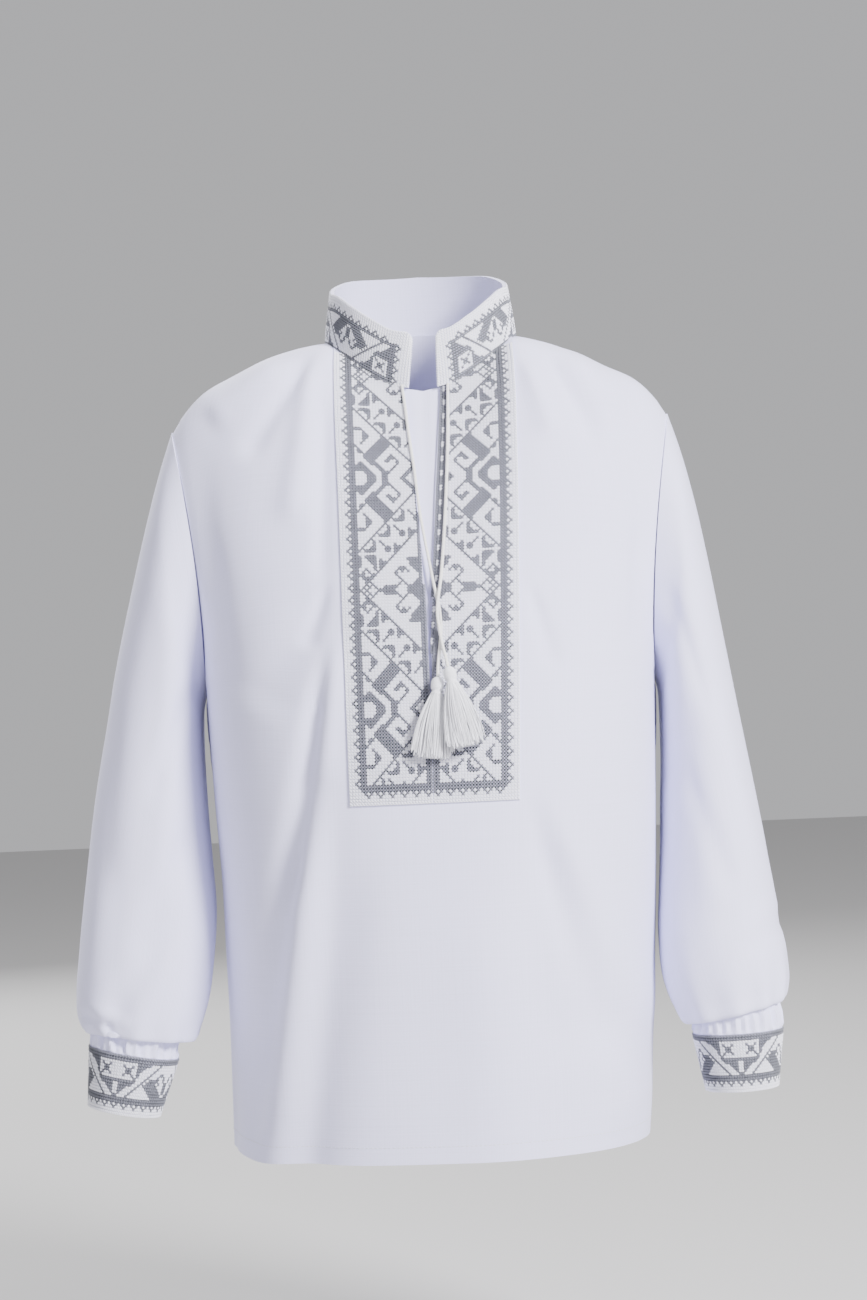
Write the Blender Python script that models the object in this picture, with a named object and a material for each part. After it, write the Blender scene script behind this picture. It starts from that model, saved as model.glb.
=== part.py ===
"""A boy's embroidered shirt (vyshyvanka) in its worn form, as the pieces it is sewn from.

Metres, +Z up, front towards -Y. The origin is at the base of the neck, between the shoulders:
z = 0 at the side of the neck, y = 0 in the plane of the side and shoulder seams. Left and right are
as seen from the front, so the left pieces have negative x. Every piece of cloth is a wall: an outer
skin worked out from the tables below, and an inner skin one wall thickness behind it.
"""

import math

import bmesh
import bpy
import numpy as np
from mathutils import Vector
from mathutils.bvhtree import BVHTree

# Thicknesses and clearances.
WALL = 0.0012
BIB_WALL = 0.0013
COLLAR_WALL = 0.0020
CUFF_WALL = 0.0016
GUARD_WALL = 0.0010
SEAM_GAP = 0.0003
LAY_GAP = 0.0006
GUARD_GAP = 0.0010
SLEEVE_CLEAR = 0.0016

# Grid sizes. The sleeves meet the body point for point, so they share the steps round the armhole.
BODY_COLUMNS = 11
NECK_COLUMNS = 6
LOW_STEPS, HIGH_STEPS = 5, 6
SECTION_POINTS = 121

# Heights that the rest hangs from.
HEM_Z = -0.476
SLIT_FOOT_Z = -0.225
UNDERARM_Z = -0.205
BIB_FOOT_Z = -0.2715
BODY_ROWS_Z = (HEM_Z, -0.445, -0.405, -0.360, -0.315, BIB_FOOT_Z, SLIT_FOOT_Z, UNDERARM_Z)
SEAM_SPREAD, SEAM_SPREAD_DROP = 0.006, 0.05


def table(columns, *rows):
    """A table as one array for each named column."""
    return dict(zip(columns.split(), np.array(rows, float).T))


# Level sections of the body, hem to chest: half widths, depths and the power of the superellipse.
BODY = table(
    "z left right front back power",
    (-0.476, 0.1305, 0.1188, 0.115, 0.080, 2.35),
    (-0.443, 0.1303, 0.1208, 0.117, 0.079, 2.35),
    (-0.400, 0.1300, 0.1240, 0.119, 0.078, 2.35),
    (-0.330, 0.1303, 0.1280, 0.122, 0.076, 2.40),
    (-0.256, 0.1335, 0.1308, 0.121, 0.075, 2.50),
    (-0.205, 0.1350, 0.1322, 0.113, 0.078, 2.65),
    (-0.170, 0.1362, 0.1335, 0.104, 0.082, 2.80),
    (-0.1265, 0.1385, 0.1360, 0.087, 0.085, 3.00),
)

# Armholes: their top and foot in the front view, middle and half depth, and how far they dip inwards.
ARMHOLE = {
    -1: {"top": (0.150, -0.048), "foot": (0.1350, UNDERARM_Z), "y": 0.003, "deep": 0.047, "dip": 0.0055},
    1: {"top": (0.147, -0.049), "foot": (0.1322, UNDERARM_Z), "y": 0.003, "deep": 0.047, "dip": 0.0050},
}

# The panel's columns rise to the neckline and the shoulder seam in curves that arrive in these directions.
ARRIVE_AT_NECK = {-1: (0.0, 0.50, 0.86), 1: (0.0, -0.25, 0.97)}
ARRIVE_UP_AT_SEAM = 0.06
ARRIVE_BLEND = 1.6
CORNER_PULL = {-1: 0.0, 1: 0.7}
CORNER_SHARE = 0.25
EVEN_PASSES = {-1: 0, 1: 5}
CHEST_STEP_Z, CHEST_STEP_TURN = 0.004, 0.03
ARMHOLE_KEEP = 0.005
EDGE_PULL_FROM = 0.80

# Shoulder seams in the front view, from the neck outwards.
SHOULDER = {
    -1: table(
        "x z", (0.0547, 0.001), (0.078, -0.002), (0.1005, -0.011), (0.120, -0.020), (0.135, -0.029),
        (0.144, -0.038), (0.150, -0.048),
    ),
    1: table(
        "x z", (0.0547, 0.001), (0.071, -0.002), (0.095, -0.011), (0.1125, -0.020), (0.1305, -0.029),
        (0.142, -0.038), (0.147, -0.049),
    ),
}

# The neckline is an ellipse seen from above. Its height depends on the angle from the front, in degrees.
NECK_X, NECK_Y = 0.0012, 0.012
NECK_WIDE, NECK_DEEP = 0.0548, 0.0535
NECK = table(
    "angle z", (0, -0.0295), (17, -0.0265), (33.5, -0.0180), (50, -0.0090), (62, -0.0038), (77, 0.0010),
    (105, 0.0050), (140, 0.0090), (180, 0.0100),
)

# The collar's ellipse at its base and rim, and its height there by angle. It leans in and is open in front.
COLLAR = table("up wide deep", (0.0, 0.0562, 0.0552), (0.5, 0.0548, 0.0535), (1.0, 0.0528, 0.0512))
COLLAR_HEIGHT = table("angle high", (0, 0.0315), (60, 0.0325), (110, 0.0335), (180, 0.0350))
COLLAR_END_X = {-1: (-0.0068, -0.0040), 1: (0.0098, 0.0106)}
COLLAR_OVER_BIB, COLLAR_OVER_BIB_ANGLES = 0.0034, (62, 85)
COLLAR_COLUMNS, COLLAR_ROWS = 34, 3

# The embroidered halves in the front view, foot to neck, and the turned-in strip of the right one.
BIB = table(
    "z left_out left_in right_in right_out strip",
    (-0.2715, -0.0495, -0.0028, -0.0020, 0.0463, 0.0),
    (-0.2250, -0.0496, -0.0018, -0.0009, 0.0485, 0.0),
    (-0.2132, -0.0497, -0.0017, 0.0002, 0.0490, 0.0006),
    (-0.1793, -0.0498, -0.0020, 0.0033, 0.0505, 0.0032),
    (-0.1327, -0.0499, -0.0033, 0.0085, 0.0525, 0.0052),
    (-0.0909, -0.0502, -0.0056, 0.0121, 0.0543, 0.0060),
    (-0.0600, -0.0506, -0.0073, 0.0146, 0.0552, 0.0058),
    (-0.0300, -0.0510, -0.0101, 0.0165, 0.0560, 0.0051),
    (0.0000, -0.0510, -0.0101, 0.0165, 0.0560, 0.0051),
)
BIB_COLUMNS = 6
STRIP_DROP, STRIP_LEAST, STRIP_FULL = 0.0017, 0.0004, 0.003
BIB_TOP_DROP = 0.0018
NECK_LIFT, NECK_LIFT_Z = 0.0016, (-0.050, -0.020)
SLIT_INSET = 0.0010
GUARD = {"left": -0.018, "right": 0.026, "top": -0.0290, "foot": -0.236}
GUARD_ROWS, GUARD_COLUMNS = 9, 4

# Sleeves as rings, shoulder to cuff. Outer and inner edge in the front view, middle and half depth,
# and the depth of the gathers. The ring at the armhole comes from ARMHOLE.
SLEEVE_COLUMNS = "outer_x outer_z inner_x inner_z y deep gather"
SLEEVE = {
    -1: table(
        SLEEVE_COLUMNS,
        (0.1570, -0.068, 0.1380, -0.216, 0.002, 0.0500, 0),
        (0.1665, -0.100, 0.1385, -0.226, 0.000, 0.0515, 0),
        (0.1762, -0.137, 0.1385, -0.240, -0.002, 0.0505, 0),
        (0.1865, -0.179, 0.1380, -0.258, -0.005, 0.0490, 0),
        (0.1960, -0.224, 0.1370, -0.280, -0.009, 0.0475, 0),
        (0.2045, -0.270, 0.1355, -0.305, -0.014, 0.0460, 0),
        (0.2110, -0.318, 0.1340, -0.333, -0.020, 0.0445, 0),
        (0.2152, -0.354, 0.1360, -0.360, -0.026, 0.0430, 0),
        (0.2172, -0.381, 0.1405, -0.388, -0.031, 0.0405, 0.0004),
        (0.2160, -0.393, 0.1450, -0.401, -0.034, 0.0375, 0.0008),
        (0.2125, -0.3995, 0.1485, -0.4085, -0.037, 0.0330, 0.0010),
        (0.2085, -0.3985, 0.1555, -0.4060, -0.040, 0.0280, 0.0010),
        (0.2085, -0.4030, 0.1592, -0.4120, -0.042, 0.0250, 0.0008),
    ),
    1: table(
        SLEEVE_COLUMNS,
        (0.1535, -0.070, 0.1350, -0.216, 0.002, 0.0500, 0),
        (0.1605, -0.100, 0.1352, -0.226, 0.000, 0.0515, 0),
        (0.1672, -0.137, 0.1350, -0.240, -0.002, 0.0510, 0),
        (0.1738, -0.179, 0.1345, -0.258, -0.004, 0.0500, 0),
        (0.1808, -0.224, 0.1330, -0.280, -0.007, 0.0490, 0),
        (0.1880, -0.270, 0.1315, -0.305, -0.011, 0.0480, 0),
        (0.1945, -0.315, 0.1290, -0.333, -0.017, 0.0465, 0),
        (0.1995, -0.350, 0.1275, -0.360, -0.023, 0.0445, 0),
        (0.2025, -0.376, 0.1290, -0.386, -0.029, 0.0415, 0.0004),
        (0.2020, -0.389, 0.1340, -0.401, -0.033, 0.0375, 0.0008),
        (0.1985, -0.398, 0.1400, -0.4105, -0.037, 0.0330, 0.0010),
        (0.1950, -0.3990, 0.1450, -0.4085, -0.040, 0.0280, 0.0010),
        (0.1955, -0.4060, 0.1453, -0.4110, -0.042, 0.0255, 0.0008),
    ),
}
SLEEVE_POWER = 2.15

# Cuffs: middle of the top and of the foot, half width and half depth there. The lap lies behind, and
# rises over the near end between two shares of its own length before that end.
CUFF = {
    -1: {"top": (-0.1843, -0.0430, -0.4130), "foot": (-0.1915, -0.0450, -0.4475)},
    1: {"top": (0.1704, -0.0430, -0.4153), "foot": (0.1716, -0.0450, -0.4490)},
}
CUFF_TOP = (0.0262, 0.0250)
CUFF_FOOT = (0.0208, 0.0205)
CUFF_TILT = {-1: math.radians(11.8), 1: math.radians(2.0)}
CUFF_LAP = math.radians(32)
CUFF_LAP_LIFT, CUFF_LAP_RISE = CUFF_WALL + LAY_GAP, (1.9, 1.0)
CUFF_START = math.radians(120)
CUFF_COLUMNS, CUFF_ROWS = 30, 3
BUTTON_RADIUS, BUTTON_THICK, BUTTON_RIM = 0.0055, 0.0022, 0.0006
BUTTON_RIM_WIDE, BUTTON_BEVEL = 0.0012, 0.0005
BUTTON_ON_LAP = 0.55
BUTTON_SIDES = 20

# Folds in the front view: ends, half width at each end, and depth. A ridge is positive. A fold fades in
# and out between two shares of its length at each end, and towards the panel's side edges.
FOLD_COLUMNS = "x0 z0 x1 z1 wide0 wide1 depth"
FOLD_IN, FOLD_OUT, FOLD_EDGE = (-0.08, 0.35), (1.0, 1.25), 0.90
FRONT_FOLDS = table(
    FOLD_COLUMNS,
    (-0.064, -0.262, -0.108, -0.476, 0.012, 0.020, 0.0050),
    (-0.082, -0.300, -0.132, -0.476, 0.012, 0.018, -0.0035),
    (-0.045, -0.290, -0.082, -0.476, 0.012, 0.018, -0.0030),
    (0.050, -0.275, 0.066, -0.400, 0.012, 0.020, -0.0026),
    (0.070, -0.330, 0.098, -0.450, 0.014, 0.020, 0.0026),
    (-0.058, -0.140, -0.092, -0.205, 0.012, 0.016, -0.0024),
    (0.020, -0.330, 0.026, -0.476, 0.018, 0.026, 0.0022),
)
BACK_FOLDS = table(
    FOLD_COLUMNS,
    (-0.060, -0.100, -0.075, -0.476, 0.016, 0.022, 0.0042),
    (-0.022, -0.140, -0.026, -0.476, 0.014, 0.020, -0.0032),
    (0.030, -0.120, 0.036, -0.476, 0.016, 0.022, 0.0040),
    (0.078, -0.150, 0.088, -0.476, 0.014, 0.020, -0.0034),
)

# Tie cords in the front view, neck to tassel, each with how far it is lifted over what it crosses.
CORD_RADIUS, CORD_CLEAR = 0.0009, 0.0006
CORD_POINTS = 40
CORD_COLUMNS = "x z lift"
CORD = {
    -1: table(
        CORD_COLUMNS,
        (-0.0109, -0.0300, 0), (-0.0098, -0.0400, 0), (-0.0086, -0.0530, 0), (-0.0073, -0.0660, 0),
        (-0.0057, -0.0800, 0), (-0.0046, -0.0930, 0), (-0.0033, -0.1070, 0), (-0.0015, -0.1200, 0),
        (0.0005, -0.1330, 0), (0.0025, -0.1460, 0), (0.0043, -0.1560, 0.0004), (0.0056, -0.1635, 0.0006),
        (0.0060, -0.1720, 0.0003), (0.0050, -0.1830, 0), (0.0036, -0.1930, 0.0010), (0.0030, -0.2012, 0.0028),
    ),
    1: table(
        CORD_COLUMNS,
        (0.0161, -0.0300, 0), (0.0155, -0.0440, 0), (0.0147, -0.0600, 0), (0.0137, -0.0760, 0),
        (0.0125, -0.0920, 0), (0.0113, -0.1060, 0), (0.0100, -0.1200, 0), (0.0086, -0.1330, 0.0002),
        (0.0070, -0.1460, 0.0010), (0.0052, -0.1560, 0.0022), (0.0042, -0.1650, 0.0026),
        (0.0050, -0.1745, 0.0022), (0.0066, -0.1850, 0.0026), (0.0080, -0.1915, 0.0048),
        (0.0088, -0.1969, 0.0069),
    ),
}

# Tassels: top of the head, middle and half width of the skirt's end, and how far each stands off the bib.
TASSEL = {
    -1: {
        "head": (0.0030, -0.2020), "foot": (-0.0022, -0.2460), "half": 0.0106,
        "off": 0.0050, "foot_off": 0.0026,
    },
    1: {
        "head": (0.0090, -0.1975), "foot": (0.0172, -0.2405), "half": 0.0098,
        "off": 0.0100, "foot_off": 0.0091,
    },
}
HEAD_RADIUS, HEAD_LENGTH = 0.0037, 0.0100
HEAD_PROFILE = ((0.0, 0.42), (0.12, 0.80), (0.35, 1.0), (0.60, 0.98), (0.78, 0.74), (1.0, 0.95))
STRANDS_ACROSS = 7
STRAND_INSET = 0.00014
STRAND_FOOT_WIDE, STRAND_FOOT_DEEP = 0.0010, 0.00022
SKIRT_HALF_DEEP = 0.0026
SKIRT_UNEVEN, SKIRT_CURVE = 0.0011, 0.0045
UNEVEN_STEPS = (7.3, 3.1)


def follow(t, knots, values):
    """A smooth curve through a table's rows: a cubic between rows, with slopes that don't overshoot."""
    order = np.argsort(knots)
    knots, values = np.asarray(knots, float)[order], np.asarray(values, float)[order]
    steps = np.diff(knots)
    slopes = np.diff(values) / steps
    product, total = slopes[1:] * slopes[:-1], slopes[1:] + slopes[:-1]
    inner = np.where(product > 0, 2 * product / np.where(product > 0, total, 1), 0)
    tangents = np.concatenate([slopes[:1], inner, slopes[-1:]])
    t = np.clip(np.asarray(t, float), knots[0], knots[-1])
    i = np.clip(np.searchsorted(knots, t, side="right") - 1, 0, len(steps) - 1)
    f = (t - knots[i]) / steps[i]
    return (
        values[i] * (1 + 2 * f) * (1 - f) ** 2
        + tangents[i] * steps[i] * f * (1 - f) ** 2
        + values[i + 1] * f * f * (3 - 2 * f)
        + tangents[i + 1] * steps[i] * f * f * (f - 1)
    )


def ease(low, high, t):
    """0 below low, 1 above high, and smooth between."""
    f = np.clip((np.asarray(t, float) - low) / (high - low), 0, 1)
    return f * f * (3 - 2 * f)


def unit(vectors):
    vectors = np.asarray(vectors, float)
    return vectors / np.maximum(np.linalg.norm(vectors, axis=-1, keepdims=True), 1e-12)


def spread_along(line, fractions):
    """Points at these fractions of a polyline's length."""
    lengths = np.concatenate([[0], np.cumsum(np.linalg.norm(np.diff(line, axis=0), axis=1))])
    return np.stack([np.interp(fractions * lengths[-1], lengths, line[:, k]) for k in range(3)], 1)


def section(z, side, face):
    """Half a level section of the body, from its middle line to the side seam."""
    angle = np.linspace(0, math.pi / 2, SECTION_POINTS)
    half = follow(z, BODY["z"], BODY["right" if side > 0 else "left"])
    deep = follow(z, BODY["z"], BODY["back" if face > 0 else "front"])
    power = 2 / follow(z, BODY["z"], BODY["power"])
    x = side * half * np.sin(angle) ** power
    y = face * deep * np.cos(angle) ** power
    return np.stack([x, y, np.full(len(x), z)], 1)


def body_side_x(z, y):
    """The body's half width at a height and depth, on the left and on the right."""
    face = np.where(y > 0, follow(z, BODY["z"], BODY["back"]), follow(z, BODY["z"], BODY["front"]))
    power = follow(z, BODY["z"], BODY["power"])
    share = np.clip(1 - (np.abs(y) / face) ** power, 0, 1) ** (1 / power)
    left, right = (share * follow(z, BODY["z"], BODY[name]) for name in ("left", "right"))
    return {-1: left, 1: right}


def armhole_point(side, angle):
    """A point of the armhole: angle pi at its foot, 0 or 2 pi at its top, more than pi in front."""
    a = ARMHOLE[side]
    middle = (np.array(a["top"]) + np.array(a["foot"])) / 2
    half = (np.array(a["top"]) - np.array(a["foot"])) / 2
    x = middle[0] + half[0] * math.cos(angle) - a["dip"] * math.sin(angle) ** 2
    y = a["y"] * math.sin(angle) ** 2 + a["deep"] * math.sin(angle)
    return np.array([side * x, y, middle[1] + half[1] * math.cos(angle)])


def neck_point(angle):
    """A point of the neckline, at an angle from the front. Positive angles are on the right."""
    z = follow(abs(math.degrees(angle)), NECK["angle"], NECK["z"])
    return np.array([NECK_X + NECK_WIDE * math.sin(angle), NECK_Y - NECK_DEEP * math.cos(angle), float(z)])


NECK_SIDE = math.acos(NECK_Y / NECK_DEEP)


def slit_x(z, side):
    """The front panel's edge along the slit, and a narrow spread of it below the slit's foot."""
    inset = SLIT_INSET * side
    edge = follow(z, BIB["z"], BIB["left_in" if side < 0 else "right_in"]) + inset
    below = ease(0, SEAM_SPREAD_DROP, SLIT_FOOT_Z - np.asarray(z, float))
    return edge + side * SEAM_SPREAD * below


def top_edge(side, face, fractions, neck_share, start):
    """The edge of a panel along the neckline and the shoulder seam, from start to the armhole's top."""
    points, neck_angles = [], []
    middle = math.asin((start - NECK_X) / NECK_WIDE)
    first = middle if face < 0 else math.pi * side
    last = side * NECK_SIDE
    seam = SHOULDER[side]
    for f in fractions:
        if f <= neck_share:
            angle = first + (last - first) * f / neck_share
            points.append(neck_point(angle))
            neck_angles.append(f / neck_share)
        else:
            g = (f - neck_share) / (1 - neck_share)
            tip = neck_point(last)
            out = abs(tip[0]) + (seam["x"][-1] - abs(tip[0])) * g
            z = follow(out, seam["x"], seam["z"])
            points.append(np.array([side * out, 0.0, tip[2] if g == 0 else float(z)]))
            neck_angles.append(1.0)
    return np.array(points), np.array(neck_angles)


def half_panel(side, face, fractions, neck_share, rows_z, slit):
    """Half a body panel as rows of points, hem to top, each from the middle line to the side.

    The rows below the underarm are level sections. Those beside the armhole's lower half end on it.
    Above that each column rises in a smooth curve to the neckline or the shoulder seam.
    """

    def start_of(z):
        return slit_x(z, side) if slit else 0.0

    def level_row(z, end=None):
        line = section(z, side, face)
        if end is not None:
            keep = np.abs(line[:, 1]) > abs(end[1]) + ARMHOLE_KEEP
            line = np.vstack([line[keep], [end[0], end[1], z]])
        start = start_of(z)
        beyond = line[side * line[:, 0] > side * start] if side * start > 0 else line[1:]
        first = [start, np.interp(abs(start), np.abs(line[:, 0]), line[:, 1]), z]
        row = spread_along(np.vstack([first, beyond]), fractions)
        if end is not None:
            row[:, 2] += (end[2] - z) * fractions**2
        return row

    rows = [level_row(z) for z in rows_z]
    angles = math.pi + (math.pi / 2) * np.arange(1, LOW_STEPS + 1) / LOW_STEPS
    chest_z = armhole_point(side, 1.5 * math.pi)[2]
    for k, angle in enumerate(angles):
        z = rows_z[-1] + (chest_z - rows_z[-1]) * (k + 1) / LOW_STEPS
        end = armhole_point(side, angle if face < 0 else 2 * math.pi - angle)
        rows.append(level_row(z, end))
    below_end = armhole_point(side, (1 - 0.5 * face + face * CHEST_STEP_TURN) * math.pi)
    below = level_row(chest_z - CHEST_STEP_Z, below_end)
    chest = rows[-1]
    top, in_neck = top_edge(side, face, fractions, neck_share, start_of(NECK["z"][0]))
    leave = unit(chest - below)
    at_neck = np.array(ARRIVE_AT_NECK[face])
    at_seam = np.array([0.0, -face, ARRIVE_UP_AT_SEAM])
    arrive = at_neck + (at_seam - at_neck) * (in_neck**ARRIVE_BLEND)[:, None]
    arrive[:, 0] -= side * CORNER_PULL[face] * np.exp(-(((fractions - neck_share) / CORNER_SHARE) ** 2))
    arrive = unit(arrive)
    span = np.linalg.norm(top - chest, axis=1)[:, None]
    for k in range(1, HIGH_STEPS + 1):
        t = k / HIGH_STEPS
        row = (
            chest * (1 + 2 * t) * (1 - t) ** 2
            + leave * span * t * (1 - t) ** 2
            + top * t * t * (3 - 2 * t)
            - arrive * span * t * t * (1 - t)
        )
        for _ in range(EVEN_PASSES[face] if k < HIGH_STEPS else 0):
            row[1:-1] = (row[:-2] + 2 * row[1:-1] + row[2:]) / 4
        angle = (1.5 + 0.5 * t) * math.pi if face < 0 else (0.5 - 0.5 * t) * math.pi
        edge = armhole_point(side, angle)
        pull = ease(EDGE_PULL_FROM, 1.0, fractions)[:, None]
        row = row + (edge - row[-1]) * pull
        rows.append(row)
    return np.array(rows)


def fold_height(points, folds):
    """How far the folds lift each point, from its place in the front view."""
    height = np.zeros(points.shape[:-1])
    for x0, z0, x1, z1, wide0, wide1, depth in zip(*(folds[name] for name in FOLD_COLUMNS.split())):
        along = np.array([x1 - x0, z1 - z0])
        length = np.linalg.norm(along)
        rel = points[..., [0, 2]] - np.array([x0, z0])
        t = (rel @ along) / length**2
        across = np.abs(rel[..., 0] * along[1] - rel[..., 1] * along[0]) / length
        wide = wide0 + (wide1 - wide0) * np.clip(t, 0, 1)
        height += depth * np.exp(-((across / wide) ** 2)) * ease(*FOLD_IN, t) * (1 - ease(*FOLD_OUT, t))
    return height


def panel(face, columns, neck_columns, rows_z, slit, folds):
    """A whole body panel as a grid of points, from side to side. A slit gives it two middle columns."""
    fractions = np.linspace(0, 1, columns + 1)
    share = neck_columns / columns
    halves = {
        side: half_panel(side, face, fractions, share, rows_z, slit)
        for side in (-1, 1)
    }
    left = halves[-1][:, ::-1]
    right = halves[1] if slit else halves[1][:, 1:]
    grid = np.concatenate([left, right], axis=1)
    if face > 0:
        grid = grid[:, ::-1]
    normals = grid_normals(grid)
    lift = fold_height(grid, folds)
    rim = np.linspace(-1, 1, grid.shape[1])
    lift = lift * (1 - ease(FOLD_EDGE, 1.0, np.abs(rim)))
    return grid + normals * lift[..., None]


def grid_normals(grid, closed=False):
    """Unit normals of a grid of points, from the differences to their neighbours."""
    across = np.gradient(grid, axis=1)
    if closed:
        across = np.roll(grid, -1, axis=1) - np.roll(grid, 1, axis=1)
    return unit(np.cross(across, np.gradient(grid, axis=0)))


def grid_quads(rows, columns, closed=False, missing=None, turned=0):
    """The quads of a grid, without those for which missing(row, column) holds.

    A quad is split from its first corner to its third. The first turned columns start one corner
    later, so that the two halves of a panel are split as mirror images.
    """
    last = columns if closed else columns - 1
    quads = []
    for r in range(rows - 1):
        for c in range(last):
            if missing and missing(r, c):
                continue
            d = (c + 1) % columns
            quad = (r * columns + c, r * columns + d, (r + 1) * columns + d, (r + 1) * columns + c)
            quads.append(quad[1:] + quad[:1] if c < turned else quad)
    return quads


def material_of(name, colour, roughness):
    material = bpy.data.materials.new(name)
    material.use_nodes = True
    shader = material.node_tree.nodes["Principled BSDF"]
    shader.inputs["Base Color"].default_value = (*colour, 1.0)
    shader.inputs["Roughness"].default_value = roughness
    shader.inputs["Metallic"].default_value = 0.0
    return material


def add_object(name, points, faces, material):
    mesh = bpy.data.meshes.new(name)
    mesh.from_pydata([tuple(p) for p in points], [], faces)
    mesh.validate()
    mesh.shade_smooth()
    mesh.set_sharp_from_angle(angle=math.radians(50))
    mesh.materials.append(material)
    obj = bpy.data.objects.new(name, mesh)
    bpy.context.scene.collection.objects.link(obj)
    return obj


def add_wall(name, outer, inner, quads, material):
    """A closed wall between two skins of the same quads, with a rim along every open edge."""
    outer, inner = np.asarray(outer).reshape(-1, 3), np.asarray(inner).reshape(-1, 3)
    count = len(outer)
    used = {(q[k], q[(k + 1) % 4]) for q in quads for k in range(4)}
    faces = [tuple(q) for q in quads]
    faces += [tuple(q[k] + count for k in (0, 3, 2, 1)) for q in quads]
    faces += [(b, a, a + count, b + count) for a, b in used if (b, a) not in used]
    points = np.concatenate([outer, inner])
    kept = sorted({i for face in faces for i in face})
    place = {old: new for new, old in enumerate(kept)}
    return add_object(name, points[kept], [tuple(place[i] for i in face) for face in faces], material)


def inner_skin(grid, wall, closed=False, level_edges=()):
    """The grid moved in by one wall. On the named edges the move keeps out of the neighbour's side."""
    normals = grid_normals(grid, closed)
    for index, direction in level_edges:
        n = normals[index]
        normals[index] = unit(n - np.sum(n * direction, axis=-1, keepdims=True) * direction)
    return grid - normals * wall


def add_body_panel(name, face, slit, folds, rows_z, material):
    grid = panel(face, BODY_COLUMNS, NECK_COLUMNS, rows_z, slit, folds)
    rows, columns = grid.shape[:2]
    lower = len(rows_z)
    depth = np.array([0.0, 1.0, 0.0])
    shoulder = BODY_COLUMNS - NECK_COLUMNS
    grid[:lower, [0, -1], 1] = face * SEAM_GAP / 2
    grid[-1, : shoulder + 1, 1] = face * SEAM_GAP / 2
    grid[-1, columns - shoulder - 1 :, 1] = face * SEAM_GAP / 2
    edges = [
        ((slice(0, lower), 0), depth), ((slice(0, lower), -1), depth),
        ((-1, slice(0, shoulder + 1)), depth), ((-1, slice(columns - shoulder - 1, columns)), depth),
    ]
    for column in (0, -1):
        side = 1 if grid[lower, column, 0] > 0 else -1
        ways = sleeve_start(side)
        if face < 0:
            ways = ways[HIGH_STEPS - 1 :: -1]
        else:
            ways = np.vstack([ways[-HIGH_STEPS + 1 :], ways[:1]])
        edges.append(((slice(rows - HIGH_STEPS, rows), column), ways))
    inner = inner_skin(grid, WALL, level_edges=edges)
    foot = rows_z.index(SLIT_FOOT_Z) if slit else rows
    missing = (lambda r, c: r >= foot and c == BODY_COLUMNS) if slit else None
    quads = grid_quads(rows, columns, missing=missing, turned=columns // 2)
    return add_wall(name, grid, inner, quads, material)


def armhole_turns():
    """The angles round the armhole and the sleeve: from the top down the front, and up the back."""
    high = math.pi / 2 * np.arange(HIGH_STEPS) / HIGH_STEPS
    low = math.pi / 2 + math.pi / 2 * np.arange(LOW_STEPS) / LOW_STEPS
    front = np.concatenate([high, low])
    return np.concatenate([front, [math.pi], 2 * math.pi - front[:0:-1]])


def armhole_loop(side):
    """The armhole as a ring that starts at its top and passes down the front."""
    return np.array([armhole_point(side, 2 * math.pi - turn) for turn in armhole_turns()])


def sleeve_start(side):
    """The directions in which the sleeve's cloth leaves the armhole."""
    return unit(sleeve_ring(side, 0) - armhole_loop(side))


def sleeve_ring(side, k):
    """Row k of the sleeve's table as a ring, pressed flat where it would pass into the body."""
    rows = SLEEVE[side]
    turn = armhole_turns()
    outer = np.array([rows["outer_x"][k], rows["outer_z"][k]])
    inner = np.array([rows["inner_x"][k], rows["inner_z"][k]])
    middle, half = (outer + inner) / 2, (outer - inner) / 2
    cos, sin = np.cos(turn), -np.sin(turn)
    power = 2 / SLEEVE_POWER
    along = np.sign(cos) * np.abs(cos) ** power
    across = np.sign(sin) * np.abs(sin) ** power
    gather = 1 + rows["gather"][k] / rows["deep"][k] * np.where(np.arange(len(turn)) % 2, -1, 1)
    out = middle[0] + half[0] * along * gather
    y = rows["y"][k] + rows["deep"][k] * across * gather
    z = middle[1] + half[1] * along
    near = body_side_x(z, y)[side] + SLEEVE_CLEAR
    pressed = np.where(z < UNDERARM_Z, np.maximum(out, near), out)
    return np.stack([side * pressed, y, z], 1)


def sleeve_rings(side):
    """The sleeve's outer skin. Point k of each ring continues the line from point k of the armhole."""
    rings = [sleeve_ring(side, k) for k in range(len(SLEEVE[side]["y"]))]
    first = armhole_loop(side) + sleeve_start(side) * SEAM_GAP
    towards = unit(np.array(CUFF[side]["top"]) - np.array(CUFF[side]["foot"]))
    last = cuff_ring(side, 0.0, armhole_turns()) + towards * SEAM_GAP
    return np.array([first, *rings, last])


def cuff_ring(side, t, turn):
    """A ring of the cuff, at t from its top to its foot. Turn 0 is its outer edge and pi / 2 its front."""
    top, foot = np.array(CUFF[side]["top"]), np.array(CUFF[side]["foot"])
    wide = CUFF_TOP[0] + (CUFF_FOOT[0] - CUFF_TOP[0]) * t
    deep = CUFF_TOP[1] + (CUFF_FOOT[1] - CUFF_TOP[1]) * t
    tilt = CUFF_TILT[side]
    outwards = np.array([side * math.cos(tilt), 0.0, math.sin(tilt)])
    forwards = np.array([0.0, -1.0, 0.0])
    middle = top + (foot - top) * t
    return middle + np.outer(np.cos(turn), outwards) * wide + np.outer(np.sin(turn), forwards) * deep


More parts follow.
